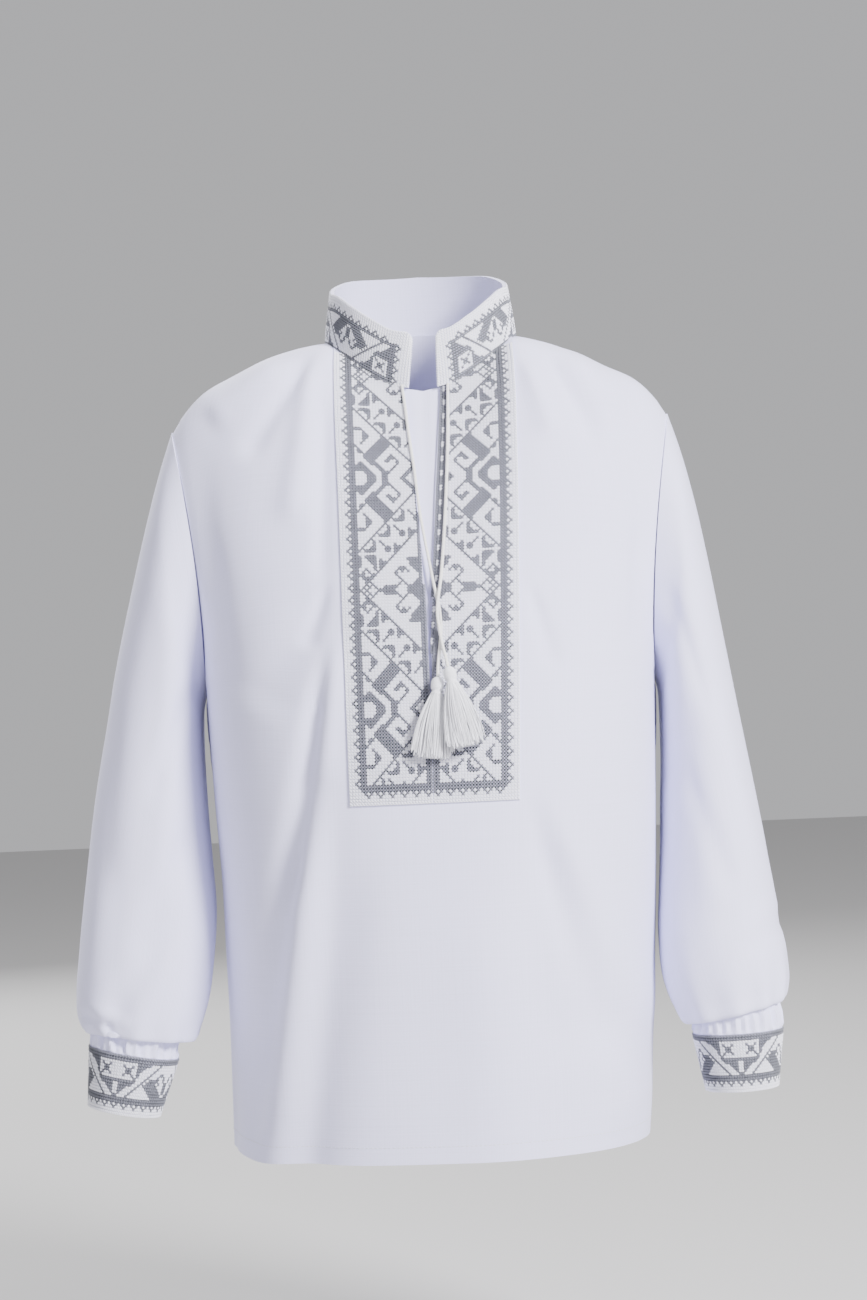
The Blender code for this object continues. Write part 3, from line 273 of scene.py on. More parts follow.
# Tassels: top of the head, middle and half width of the skirt's end, and how far each stands off the bib.
TASSEL = {
    -1: {
        "head": (0.0030, -0.2020), "foot": (-0.0022, -0.2460), "half": 0.0106,
        "off": 0.0050, "foot_off": 0.0026,
    },
    1: {
        "head": (0.0090, -0.1975), "foot": (0.0172, -0.2405), "half": 0.0098,
        "off": 0.0100, "foot_off": 0.0091,
    },
}
HEAD_RADIUS, HEAD_LENGTH = 0.0037, 0.0100
HEAD_PROFILE = ((0.0, 0.42), (0.12, 0.80), (0.35, 1.0), (0.60, 0.98), (0.78, 0.74), (1.0, 0.95))
HEAD_SIDES, HEAD_ROWS, BINDING_TURNS, BINDING_SWELL = 28, 61, 15, 0.035
SKIRT_HALF_DEEP, SKIRT_CURVE, SKIRT_FULLER = 0.0026, 0.0045, 1.15
THREADS, THREAD_STEPS, THREAD_RADIUS, THREAD_SIDES = 420, 8, 0.00023, 4

# A thread leaves the head inside its foot, bows outwards, and differs from the others in these ways.
THREAD_START, THREAD_START_SHARE = 0.9, 0.85
THREAD_UNEVEN, THREAD_LONGEST, THREAD_ASTRAY, THREAD_WAVE = 0.0012, 0.0006, 0.04, 0.0005
THREAD_BOW_WIDE, THREAD_BOW_DEEP = 0.0016, 0.0012

# Sewing: the pitch and size of a straight stitch, and where the hem's line runs in the lowest row.
SEW_PITCH, SEW_LIFT, SEW_LONG, SEW_THICK = 0.0026, 0.0001, 0.0019, 0.00035
HEM_LINE = 0.32


def follow(t, knots, values):
    """A smooth curve through a table's rows: a cubic between rows, with slopes that don't overshoot."""
    order = np.argsort(knots)
    knots, values = np.asarray(knots, float)[order], np.asarray(values, float)[order]
    steps = np.diff(knots)
    slopes = np.diff(values) / steps
    product, total = slopes[1:] * slopes[:-1], slopes[1:] + slopes[:-1]
    inner = np.where(product > 0, 2 * product / np.where(product > 0, total, 1), 0)
    tangents = np.concatenate([slopes[:1], inner, slopes[-1:]])
    t = np.clip(np.asarray(t, float), knots[0], knots[-1])
    i = np.clip(np.searchsorted(knots, t, side="right") - 1, 0, len(steps) - 1)
    f = (t - knots[i]) / steps[i]
    return (
        values[i] * (1 + 2 * f) * (1 - f) ** 2
        + tangents[i] * steps[i] * f * (1 - f) ** 2
        + values[i + 1] * f * f * (3 - 2 * f)
        + tangents[i + 1] * steps[i] * f * f * (f - 1)
    )


def look_up(rows, name, at):
    """A column of a table at a place along the table's first column."""
    return follow(at, rows[next(iter(rows))], rows[name])


def ease(low, high, t):
    """0 below low, 1 above high, and smooth between."""
    f = np.clip((np.asarray(t, float) - low) / (high - low), 0, 1)
    return f * f * (3 - 2 * f)


def unit(vectors):
    vectors = np.asarray(vectors, float)
    return vectors / np.maximum(np.linalg.norm(vectors, axis=-1, keepdims=True), 1e-12)


def spread_along(line, fractions):
    """Points at these fractions of a polyline's length."""
    lengths = np.concatenate([[0], np.cumsum(np.linalg.norm(np.diff(line, axis=0), axis=1))])
    return np.stack([np.interp(fractions * lengths[-1], lengths, line[:, k]) for k in range(3)], 1)


def section(z, side, face):
    """Half a level section of the body, from its middle line to the side seam."""
    angle = np.linspace(0, math.pi / 2, SECTION_POINTS)
    half = look_up(BODY, "right" if side > 0 else "left", z)
    deep = look_up(BODY, "back" if face > 0 else "front", z)
    power = 2 / look_up(BODY, "power", z)
    x = side * half * np.sin(angle) ** power
    y = face * deep * np.cos(angle) ** power
    return np.stack([x, y, np.full(len(x), z)], 1)


def body_side_x(z, y):
    """The body's half width at a height and depth, on the left and on the right."""
    face = np.where(y > 0, look_up(BODY, "back", z), look_up(BODY, "front", z))
    power = look_up(BODY, "power", z)
    share = np.clip(1 - (np.abs(y) / face) ** power, 0, 1) ** (1 / power)
    left, right = (share * look_up(BODY, name, z) for name in ("left", "right"))
    return {-1: left, 1: right}


def armhole_point(side, angle):
    """A point of the armhole: angle pi at its foot, 0 or 2 pi at its top, more than pi in front."""
    a = ARMHOLE[side]
    middle = (np.array(a["top"]) + np.array(a["foot"])) / 2
    half = (np.array(a["top"]) - np.array(a["foot"])) / 2
    x = middle[0] + half[0] * math.cos(angle) - a["dip"] * math.sin(angle) ** 2
    y = a["y"] * math.sin(angle) ** 2 + a["deep"] * math.sin(angle)
    return np.array([side * x, y, middle[1] + half[1] * math.cos(angle)])


def neck_point(angle):
    """A point of the neckline, at an angle from the front. Positive angles are on the right."""
    z = look_up(NECK, "z", abs(math.degrees(angle)))
    return np.array([NECK_X + NECK_WIDE * math.sin(angle), NECK_Y - NECK_DEEP * math.cos(angle), float(z)])


NECK_SIDE = math.acos(NECK_Y / NECK_DEEP)


def slit_x(z, side):
    """The front panel's edge along the slit, and a narrow spread of it below the slit's foot."""
    inset = SLIT_INSET * side
    edge = look_up(BIB, "left_in" if side < 0 else "right_in", z) + inset
    below = ease(0, SEAM_SPREAD_DROP, SLIT_FOOT_Z - np.asarray(z, float))
    return edge + side * SEAM_SPREAD * below


def top_edge(side, face, fractions, neck_share, start):
    """The edge of a panel along the neckline and the shoulder seam, from start to the armhole's top."""
    points, neck_angles = [], []
    middle = math.asin((start - NECK_X) / NECK_WIDE)
    first = middle if face < 0 else math.pi * side
    last = side * NECK_SIDE
    seam = SHOULDER[side]
    for f in fractions:
        if f <= neck_share:
            angle = first + (last - first) * f / neck_share
            points.append(neck_point(angle))
            neck_angles.append(f / neck_share)
        else:
            g = (f - neck_share) / (1 - neck_share)
            tip = neck_point(last)
            out = abs(tip[0]) + (seam["x"][-1] - abs(tip[0])) * g
            z = look_up(seam, "z", out)
            points.append(np.array([side * out, 0.0, tip[2] if g == 0 else float(z)]))
            neck_angles.append(1.0)
    return np.array(points), np.array(neck_angles)


def half_panel(side, face, fractions, neck_share, rows_z, slit):
    """Half a body panel as rows of points, hem to top, each from the middle line to the side.

    The rows below the underarm are level sections. Those beside the armhole's lower half end on it.
    Above that each column rises in a smooth curve to the neckline or the shoulder seam.
    """

    def start_of(z):
        return slit_x(z, side) if slit else 0.0

    def level_row(z, end=None):
        line = section(z, side, face)
        if end is not None:
            keep = np.abs(line[:, 1]) > abs(end[1]) + ARMHOLE_KEEP
            line = np.vstack([line[keep], [end[0], end[1], z]])
        start = start_of(z)
        beyond = line[side * line[:, 0] > side * start] if side * start > 0 else line[1:]
        first = [start, np.interp(abs(start), np.abs(line[:, 0]), line[:, 1]), z]
        row = spread_along(np.vstack([first, beyond]), fractions)
        if end is not None:
            row[:, 2] += (end[2] - z) * fractions**2
        return row

    rows = [level_row(z) for z in rows_z]
    angles = math.pi + (math.pi / 2) * np.arange(1, LOW_STEPS + 1) / LOW_STEPS
    chest_z = armhole_point(side, 1.5 * math.pi)[2]
    for k, angle in enumerate(angles):
        z = rows_z[-1] + (chest_z - rows_z[-1]) * (k + 1) / LOW_STEPS
        end = armhole_point(side, angle if face < 0 else 2 * math.pi - angle)
        rows.append(level_row(z, end))
    below_end = armhole_point(side, (1 - 0.5 * face + face * CHEST_STEP_TURN) * math.pi)
    below = level_row(chest_z - CHEST_STEP_Z, below_end)
    chest = rows[-1]
    top, in_neck = top_edge(side, face, fractions, neck_share, start_of(NECK["z"][0]))
    leave = unit(chest - below)
    at_neck = np.array(ARRIVE_AT_NECK[face])
    at_seam = np.array([0.0, -face, ARRIVE_UP_AT_SEAM])
    arrive = at_neck + (at_seam - at_neck) * (in_neck**ARRIVE_BLEND)[:, None]
    arrive[:, 0] -= side * CORNER_PULL[face] * np.exp(-(((fractions - neck_share) / CORNER_SHARE) ** 2))
    arrive = unit(arrive)
    span = np.linalg.norm(top - chest, axis=1)[:, None]
    for k in range(1, HIGH_STEPS + 1):
        t = k / HIGH_STEPS
        row = (
            chest * (1 + 2 * t) * (1 - t) ** 2
            + leave * span * t * (1 - t) ** 2
            + top * t * t * (3 - 2 * t)
            - arrive * span * t * t * (1 - t)
        )
        for _ in range(EVEN_PASSES[face] if k < HIGH_STEPS else 0):
            row[1:-1] = (row[:-2] + 2 * row[1:-1] + row[2:]) / 4
        angle = (1.5 + 0.5 * t) * math.pi if face < 0 else (0.5 - 0.5 * t) * math.pi
        edge = armhole_point(side, angle)
        pull = ease(EDGE_PULL_FROM, 1.0, fractions)[:, None]
        row = row + (edge - row[-1]) * pull
        rows.append(row)
    return np.array(rows)


def fold_height(points, folds):
    """How far the folds lift each point, from its place in the front view."""
    height = np.zeros(points.shape[:-1])
    for x0, z0, x1, z1, wide0, wide1, depth in zip(*(folds[name] for name in FOLD_COLUMNS.split())):
        along = np.array([x1 - x0, z1 - z0])
        length = np.linalg.norm(along)
        rel = points[..., [0, 2]] - np.array([x0, z0])
        t = (rel @ along) / length**2
        across = np.abs(rel[..., 0] * along[1] - rel[..., 1] * along[0]) / length
        wide = wide0 + (wide1 - wide0) * np.clip(t, 0, 1)
        height += depth * np.exp(-((across / wide) ** 2)) * ease(*FOLD_IN, t) * (1 - ease(*FOLD_OUT, t))
    return height


def grid_normals(grid, closed=False):
    """Unit normals of a grid of points, from the differences to their neighbours."""
    across = np.gradient(grid, axis=1)
    if closed:
        across = np.roll(grid, -1, axis=1) - np.roll(grid, 1, axis=1)
    return unit(np.cross(across, np.gradient(grid, axis=0)))


def grid_quads(rows, columns, closed=False, missing=None, turned=0):
    """The quads of a grid, without those for which missing(row, column) holds.

    A quad is split from its first corner to its third. The first turned columns start one corner
    later, so that the two halves of a panel are split as mirror images.
    """
    last = columns if closed else columns - 1
    quads = []
    for r in range(rows - 1):
        for c in range(last):
            if missing and missing(r, c):
                continue
            d = (c + 1) % columns
            quad = (r * columns + c, r * columns + d, (r + 1) * columns + d, (r + 1) * columns + c)
            quads.append(quad[1:] + quad[:1] if c < turned else quad)
    return quads


def armhole_turns():
    """The angles round the armhole and the sleeve: from the top down the front, and up the back."""
    high = math.pi / 2 * np.arange(HIGH_STEPS) / HIGH_STEPS
    low = math.pi / 2 + math.pi / 2 * np.arange(LOW_STEPS) / LOW_STEPS
    front = np.concatenate([high, low])
    return np.concatenate([front, [math.pi], 2 * math.pi - front[:0:-1]])


def armhole_loop(side):
    """The armhole as a ring that starts at its top and passes down the front."""
    return np.array([armhole_point(side, 2 * math.pi - turn) for turn in armhole_turns()])


def sleeve_start(side):
    """The directions in which the sleeve's cloth leaves the armhole."""
    return unit(sleeve_ring(side, 0) - armhole_loop(side))


def sleeve_ring(side, k):
    """Row k of the sleeve's table as a ring, pressed flat where it would pass into the body."""
    rows = SLEEVE[side]
    turn = armhole_turns()
    outer = np.array([rows["outer_x"][k], rows["outer_z"][k]])
    inner = np.array([rows["inner_x"][k], rows["inner_z"][k]])
    middle, half = (outer + inner) / 2, (outer - inner) / 2
    cos, sin = np.cos(turn), -np.sin(turn)
    power = 2 / SLEEVE_POWER
    along = np.sign(cos) * np.abs(cos) ** power
    across = np.sign(sin) * np.abs(sin) ** power
    gather = 1 + rows["gather"][k] / rows["deep"][k] * np.where(np.arange(len(turn)) % 2, -1, 1)
    out = middle[0] + half[0] * along * gather
    y = rows["y"][k] + rows["deep"][k] * across * gather
    z = middle[1] + half[1] * along
    near = body_side_x(z, y)[side] + SLEEVE_CLEAR
    pressed = np.where(z < UNDERARM_Z, np.maximum(out, near), out)
    return np.stack([side * pressed, y, z], 1)


def sleeve_rings(side):
    """The sleeve's outer skin. Point k of each ring continues the line from point k of the armhole."""
    rings = [sleeve_ring(side, k) for k in range(len(SLEEVE[side]["y"]))]
    first = armhole_loop(side) + sleeve_start(side) * SEAM_GAP
    towards = unit(np.array(CUFF[side]["top"]) - np.array(CUFF[side]["foot"]))
    last = cuff_ring(side, 0.0, armhole_turns()) + towards * SEAM_GAP
    return np.array([first, *rings, last])


def cuff_ring(side, t, turn):
    """A ring of the cuff, at t from its top to its foot. Turn 0 is its outer edge and pi / 2 its front."""
    top, foot = np.array(CUFF[side]["top"]), np.array(CUFF[side]["foot"])
    wide = CUFF_TOP[0] + (CUFF_FOOT[0] - CUFF_TOP[0]) * t
    deep = CUFF_TOP[1] + (CUFF_FOOT[1] - CUFF_TOP[1]) * t
    tilt = CUFF_TILT[side]
    outwards = np.array([side * math.cos(tilt), 0.0, math.sin(tilt)])
    forwards = np.array([0.0, -1.0, 0.0])
    middle = top + (foot - top) * t
    return middle + np.outer(np.cos(turn), outwards) * wide + np.outer(np.sin(turn), forwards) * deep


def neck_z_at(x):
    """The neckline's height above a place in the front view."""
    angle = math.asin(min(max((x - NECK_X) / NECK_WIDE, -0.99), 0.99))
    return float(look_up(NECK, "z", abs(math.degrees(angle))))


# Fine steps for each step of the tables, and the fine rows and columns of the bands and the guard.
ROW_STEPS, COLUMN_STEPS = 6, 6
SLEEVE_ROW_STEPS, SLEEVE_COLUMN_STEPS = 5, 6
BAND_ROWS, BAND_COLUMN_STEPS = 13, 8
BIB_COLUMN_STEPS = 4
GUARD_ROWS, GUARD_COLUMNS = 49, 21

# Smaller folds of the front and the sleeves, which the solids leave out.
SMALL_FOLDS = table(
    FOLD_COLUMNS,
    (-0.0770, -0.0090, -0.1175, -0.0390, 0.007, 0.010, 0.0034),
    (-0.0625, -0.0040, -0.0980, -0.0574, 0.004, 0.007, -0.0036),
    (-0.0620, -0.0060, -0.0760, -0.0930, 0.005, 0.009, 0.0036),
    (-0.0560, -0.0300, -0.0600, -0.1300, 0.004, 0.006, -0.0022),
    (0.0620, -0.0130, 0.0741, -0.0562, 0.005, 0.008, 0.0030),
    (0.0720, -0.0050, 0.0980, -0.0580, 0.004, 0.007, -0.0034),
    (0.0849, -0.0115, 0.1136, -0.0430, 0.007, 0.010, 0.0032),
    (-0.0580, -0.1430, -0.0700, -0.1750, 0.003, 0.006, -0.0024),
    (-0.0610, -0.1850, -0.0850, -0.3050, 0.004, 0.008, -0.0060),
    (-0.0530, -0.1750, -0.0640, -0.2450, 0.005, 0.008, 0.0026),
    (-0.0830, -0.2850, -0.1120, -0.4500, 0.007, 0.012, -0.0046),
    (-0.0560, -0.2650, -0.0860, -0.4700, 0.008, 0.012, -0.0030),
    (0.0570, -0.1480, 0.0680, -0.1900, 0.003, 0.006, -0.0020),
    (-0.0680, -0.2600, -0.0980, -0.4700, 0.008, 0.013, 0.0036),
    (0.0520, -0.2680, 0.0880, -0.4000, 0.006, 0.012, -0.0038),
    (0.0640, -0.2750, 0.1080, -0.3900, 0.008, 0.014, 0.0024),
    (0.1230, -0.1150, 0.1210, -0.1750, 0.004, 0.006, -0.0016),
    (-0.1240, -0.1100, -0.1200, -0.1900, 0.005, 0.008, -0.0016),
)
SLEEVE_FOLDS = {
    -1: table(
        FOLD_COLUMNS,
        (-0.150, -0.330, -0.190, -0.385, 0.006, 0.010, -0.0022),
        (-0.196, -0.300, -0.206, -0.385, 0.007, 0.010, 0.0020),
        (-0.2165, -0.3880, -0.1965, -0.3950, 0.0028, 0.0024, -0.0018),
        (-0.2000, -0.3930, -0.1905, -0.4060, 0.0024, 0.0024, -0.0018),
        (-0.2120, -0.3790, -0.1880, -0.3930, 0.0040, 0.0040, 0.0012),
        (-0.152, -0.150, -0.160, -0.300, 0.006, 0.009, 0.0020),
        (-0.141, -0.195, -0.162, -0.255, 0.004, 0.006, -0.0020),
        (-0.143, -0.275, -0.172, -0.345, 0.005, 0.009, -0.0020),
        (-0.188, -0.200, -0.196, -0.300, 0.006, 0.009, -0.0012),
    ),
    1: table(
        FOLD_COLUMNS,
        (0.158, -0.356, 0.188, -0.334, 0.004, 0.006, -0.0018),
        (0.172, -0.368, 0.198, -0.353, 0.004, 0.006, -0.0016),
        (0.150, -0.200, 0.142, -0.330, 0.007, 0.010, -0.0020),
        (0.138, -0.150, 0.158, -0.215, 0.004, 0.006, -0.0020),
        (0.142, -0.255, 0.168, -0.325, 0.005, 0.008, -0.0020),
        (0.166, -0.220, 0.180, -0.300, 0.006, 0.009, 0.0014),
    ),
}

# Pleats over a cuff, between these shares of the sleeve's length. They sway, and wider ones join in.
GATHERS, GATHER_DEPTH = 29, 0.0009
GATHER_IN, GATHER_OUT = (0.78, 0.94), (0.985, 1.0)
GATHER_SWAY, SWAYS = 1.3, 3
WIDE_GATHERS, WIDE_GATHER_SHARE, WIDE_GATHER_START = 13, 0.5, 2.0

# The ditch that the armhole seam makes in the body, from this share of the half width.
SEAM_DITCH, SEAM_DITCH_FROM = 0.0008, 0.965

# Stitches: a cross's width and its pitch down the bib, the pitch on the collar and the cuffs, and how
# many columns each cuff's motif is moved round. Discs of painted shade lie on top of the crosses' corners.
PITCH_ACROSS, PITCH_DOWN = 0.00172, 0.00190
COLLAR_PITCH, COLLAR_STITCH_ROWS = 0.00170, 20
CUFF_PITCH, CUFF_STITCH_ROWS, CUFF_PHASE = 0.00176, 20, {-1: 22, 1: 31}
STITCH_LIFT, SHADE_DISC_LIFT = 0.00012, 0.00042
CROSS_THICK = 0.00070

# A strand of a cross and a straight stitch, in shares of their length and in thicknesses: their heights
# along the way, and their section. The second strand of a cross lies over the first.
CROSS_ALONG, CROSS_OVER = ((0.02, 0.0), (0.28, 0.75), (0.72, 0.75), (0.98, 0.0)), 0.45
CROSS_SECTION = ((-0.5, -0.25), (0.0, 0.75), (0.5, -0.25))
DASH_ALONG = ((-0.5, -0.5), (-0.3, 0.4), (0.3, 0.4), (0.5, -0.5))
DASH_SECTION = ((-0.5, -0.3), (0.0, 0.4), (0.5, -0.3))
STRAND_FLAT = 0.6

# Discs of painted shade, one at each needle hole: their radius among grey stitches, among white ones, and
# their sides.
SHADE_DISC_RADIUS, PALE_SHADE_DISC_RADIUS, SHADE_DISC_SIDES = 0.00062, 0.00028, 6

# The shown bib lies closer to the front than its solid does, and is thinner. Its stitches end below the
# neckline, and its halves close up over a short height below the slit.
BIB_LAY, BIB_SHELL = 0.0002, 0.0006
BIB_TOP_MARGIN, JOIN_FADE = 0.0005, 0.006
STRIP_SHARES = (0.34, 0.67, 1.0)

# Upright lines over the front, on which a bib half's rows of stitches are spaced out along the cloth.
PROFILE_POINTS, PROFILES, PROFILE_FROM, PROFILE_TO = 160, 9, -0.008, 0.056

# The crease down the middle of the slit's guard.
CREASE_X, CREASE_HALF, CREASE_DEPTH = 0.001, 0.003, 0.0006

# The shown collar dips behind the neckline and stands out at its foot. Its rim is lower in front than
# the solid's, and its front corners are rounded.
COLLAR_DIP, COLLAR_OUT = 0.0022, 0.0010
COLLAR_TRIM = table(
    "angle drop", (0, 0.0045), (25, 0.0055), (50, 0.0060), (75, 0.0050), (100, 0.0022), (130, 0), (180, 0)
)
COLLAR_CORNER = 0.004

# The bib's chart, counted from its outer edge and from its foot.
EDGE_WHITE, PICOT_WIDE, BORDER_WIDE = 2, 2, 2
INSIDE_FROM = EDGE_WHITE + PICOT_WIDE + BORDER_WIDE
INSIDE_WIDE = 20
HALF_PERIOD = 37
FIRST_RING_ROW, BIB_STITCH_ROWS = 28, 152
BIB_STITCH_COLUMNS = INSIDE_FROM + INSIDE_WIDE + BORDER_WIDE
PICOT_STEP = 4
BAND_HALF_PERIOD, BAND_MARGIN = 20, 8


def refine(grid, counts, closed=False):
    """The grid with each step along its first axis cut into counts steps, along smooth curves."""
    n = len(grid)
    if closed:
        grid = np.concatenate([grid, grid[:1]])
    steps = np.diff(grid, axis=0)
    long = np.maximum(np.linalg.norm(steps, axis=2, keepdims=True), 1e-6)
    slopes = steps / long
    before, after = slopes[:-1], slopes[1:]
    inner = (before * long[1:] + after * long[:-1]) / (long[1:] + long[:-1])
    if closed:
        ends = (slopes[-1:] * long[:1] + slopes[:1] * long[-1:]) / (long[:1] + long[-1:])
        tangents = np.concatenate([ends, inner, ends])
    else:
        first = 1.5 * slopes[:1] - 0.5 * inner[:1]
        last = 1.5 * slopes[-1:] - 0.5 * inner[-1:]
        tangents = np.concatenate([first, inner, last])
    rows = []
    for i, count in enumerate(counts):
        for t in np.arange(count) / count:
            rows.append(
                grid[i] * (1 + 2 * t) * (1 - t) ** 2 + tangents[i] * long[i] * t * (1 - t) ** 2
                + grid[i + 1] * t * t * (3 - 2 * t) + tangents[i + 1] * long[i] * t * t * (t - 1)
            )
    if not closed:
        rows.append(grid[n - 1])
    return np.array(rows)


def refine_across(grid, counts, closed=False):
    return refine(grid.transpose(1, 0, 2), counts, closed).transpose(1, 0, 2)


def fine_panel(face, rows_z, slit, folds):
    """A body panel as a fine grid of points with its folds, from side to side."""
    fractions = np.linspace(0, 1, BODY_COLUMNS + 1)
    share = NECK_COLUMNS / BODY_COLUMNS
    halves = [half_panel(side, face, fractions, share, rows_z, slit) for side in (-1, 1)]
    right = halves[1] if slit else halves[1][:, 1:]
    grid = np.concatenate([halves[0][:, ::-1], right], axis=1)
    if face > 0:
        grid = grid[:, ::-1]
    counts = [COLUMN_STEPS] * (grid.shape[1] - 1)
    if slit:
        counts[BODY_COLUMNS] = 1
    grid = refine_across(refine(grid, [ROW_STEPS] * (len(grid) - 1)), counts)
    normals = grid_normals(grid)
    lift = sum(fold_height(grid, rows) for rows in folds)
    lower = (len(rows_z) - 1) * ROW_STEPS
    out = np.abs(np.linspace(-1, 1, grid.shape[1]))
    above = ease(lower, lower + ROW_STEPS, np.arange(len(grid)))[:, None]
    ditch = SEAM_DITCH * above * ease(SEAM_DITCH_FROM, 1.0, out)
    lift = lift * (1 - ease(FOLD_EDGE, 1.0, out)) - ditch
    grid = grid + normals * lift[..., None]
    shoulder = (BODY_COLUMNS - NECK_COLUMNS) * COLUMN_STEPS
    grid[: lower + 1, [0, -1], 1] = face * SEAM_GAP / 2
    grid[-1, : shoulder + 1, 1] = face * SEAM_GAP / 2
    grid[-1, -shoulder - 1 :, 1] = face * SEAM_GAP / 2
    return grid


def lengths_along(grid):
    """How far each point lies along its line of the grid's first axis."""
    steps = np.linalg.norm(np.diff(grid, axis=0), axis=2)
    return np.concatenate([np.zeros((1, grid.shape[1])), np.cumsum(steps, axis=0)])


def cloth_uv(grid):
    """Coordinates in metres on the cloth, across and along."""
    across = lengths_along(grid.transpose(1, 0, 2)).T
    return np.stack([across - across.mean(1, keepdims=True), lengths_along(grid)], 2)


def add_mesh(name, points, faces, material, uv=None, sharp=50):
    mesh = bpy.data.meshes.new(name)
    mesh.from_pydata(np.asarray(points).tolist(), [], faces)
    if uv is not None:
        layer = mesh.uv_layers.new(name="cloth")
        index = np.empty(len(mesh.loops), int)
        mesh.loops.foreach_get("vertex_index", index)
        layer.data.foreach_set("uv", np.asarray(uv)[index].ravel())
    mesh.shade_smooth()
    if sharp:
        mesh.set_sharp_from_angle(angle=math.radians(sharp))
    if material:
        mesh.materials.append(material)
    obj = bpy.data.objects.new(name, mesh)
    bpy.context.scene.collection.objects.link(obj)
    return obj


def add_shell(name, outer, inner, material, closed=False, missing=None):
    """A closed wall of cloth between two skins, with a rim along every open edge."""
    rows, columns = outer.shape[:2]
    quads = grid_quads(rows, columns, closed, missing)
    count = rows * columns
    used = {(q[k], q[(k + 1) % 4]) for q in quads for k in range(4)}
    faces = [tuple(q) for q in quads]
    faces += [tuple(q[k] + count for k in (0, 3, 2, 1)) for q in quads]
    faces += [(b, a, a + count, b + count) for a, b in used if (b, a) not in used]
    uv = cloth_uv(outer).reshape(-1, 2)
    points = np.concatenate([outer.reshape(-1, 3), inner.reshape(-1, 3)])
    return add_mesh(name, points, faces, material, np.concatenate([uv, uv]))


class Surface:
    """A fine grid of points with smooth normals, on which stitches are placed."""

    def __init__(self, grid, normals=None):
        self.grid = grid
        self.normals = grid_normals(grid) if normals is None else normals

    def line(self, row):
        """The points and normals of one row. The row may be a fraction."""
        low = min(int(row), len(self.grid) - 2)
        share = row - low
        points = self.grid[low] * (1 - share) + self.grid[low + 1] * share
        normals = self.normals[low] * (1 - share) + self.normals[low + 1] * share
        return points, unit(normals)

    def places(self, row, distances):
        """The points, normals and directions along one row at distances from its first point."""
        points, normals = self.line(row)
        along = np.concatenate([[0], np.cumsum(np.linalg.norm(np.diff(points, axis=0), axis=1))])
        inside = (distances >= 0) & (distances <= along[-1])
        at = np.stack([np.interp(distances, along, points[:, k]) for k in range(3)], 1)
        up = np.stack([np.interp(distances, along, normals[:, k]) for k in range(3)], 1)
        near = np.stack([np.interp(distances + 1e-4, along, points[:, k]) for k in range(3)], 1)
        back = np.stack([np.interp(distances - 1e-4, along, points[:, k]) for k in range(3)], 1)
        return at, unit(up), unit(near - back), inside, along[-1]


class Ground:
    """The front panel's outer skin, closed over its slit, which the bib, guard and cords are laid on."""

    def __init__(self, grid):
        rows, columns = grid.shape[:2]
        self.grid, self.grid_normals = grid, grid_normals(grid)
        self.points, self.normals = grid.reshape(-1, 3), self.grid_normals.reshape(-1, 3)
        self.quads = np.array(grid_quads(rows, columns))
        self.tree = BVHTree.FromPolygons(self.points.tolist(), self.quads.tolist())
        self.middle = BODY_COLUMNS * COLUMN_STEPS

    def at(self, x, z):
        """The point and the smooth normal of the skin at a place in the front view."""
        hit, _, face, _ = self.tree.ray_cast(Vector((x, -1.0, z)), Vector((0, 1, 0)))
        if hit is None:
            hit, _, face, _ = self.tree.find_nearest(Vector((x, NECK_Y - NECK_DEEP, z)))
        near = self.quads[face]
        weight = 1 / (np.linalg.norm(self.points[near] - np.array(hit), axis=1) + 1e-4)
        return np.array(hit), unit((self.normals[near] * weight[:, None]).sum(0))

    def on_row(self, row, x):
        """The point and normal of one of the panel's rows at a distance x from the middle."""
        line, normals = self.grid[row], self.grid_normals[row]
        if row == len(self.grid) - 1:
            share = BIB_TOP_DROP / np.linalg.norm(self.grid[row] - self.grid[row - 1], axis=1)[:, None]
            line = line + (self.grid[row - 1] - line) * np.minimum(share, 1)
        spot = [np.interp(x, line[:, 0], line[:, k]) for k in range(3)]
        normal = [np.interp(x, line[:, 0], normals[:, k]) for k in range(3)]
        return np.array(spot), unit(normal)


def bib_edge(side, z, name):
    """A half's outer or inner edge in the front view. Below the slit the inner edges nearly meet."""
    edges = {s: look_up(BIB, f"{word}_{name}", z) for s, word in SIDES}
    if name == "out":
        return edges[side]
    joined = (edges[-1] + edges[1]) / 2 + side * SEAM_GAP / 2
    below = ease(0.0, JOIN_FADE, SLIT_FOOT_Z - np.asarray(z, float))
    return edges[side] + (joined - edges[side]) * below


def bib_place(side, row, c, ground):
    """The place of a point of an embroidered half: on a row of the panel, c across from the slit."""
    z = ground.grid[row, ground.middle, 2]
    for _ in range(4):
        near, far = bib_edge(side, z, "in"), bib_edge(side, z, "out")
        x = float(near + (far - near) * c)
        z = ground.on_row(row, x)[0][2]
    return x, z


def node(tree, kind, inputs=None, **settings):
    """Adds a node. Its settings are properties, and its inputs are values or other nodes' outputs."""
    made = tree.nodes.new(kind)
    for name, value in settings.items():
        setattr(made, name, value)
    for key, value in (inputs or {}).items():
        socket = made.inputs[key]
        if isinstance(value, bpy.types.NodeSocket):
            tree.links.new(value, socket)
        else:
            socket.default_value = value
    return made


def colour(text):
    """A colour written as it looks on a screen, in linear light."""
    parts = [int(text[i : i + 2], 16) / 255 for i in (1, 3, 5)]
    return (*(p / 12.92 if p <= 0.04045 else ((p + 0.055) / 1.055) ** 2.4 for p in parts), 1.0)


def new_material(name, text, roughness, **more):
    """A material with a Principled shader, whose settings are set on its own sockets."""
    material = bpy.data.materials.new(name)
    material.use_nodes = True
    shader = material.node_tree.nodes["Principled BSDF"]
    values = {"Base Color": colour(text), "Roughness": roughness, "Metallic": 0.0}
    values.update({key.replace("_", " "): value for key, value in more.items()})
    for key, value in values.items():
        shader.inputs[key].default_value = value
    return material, material.node_tree, shader


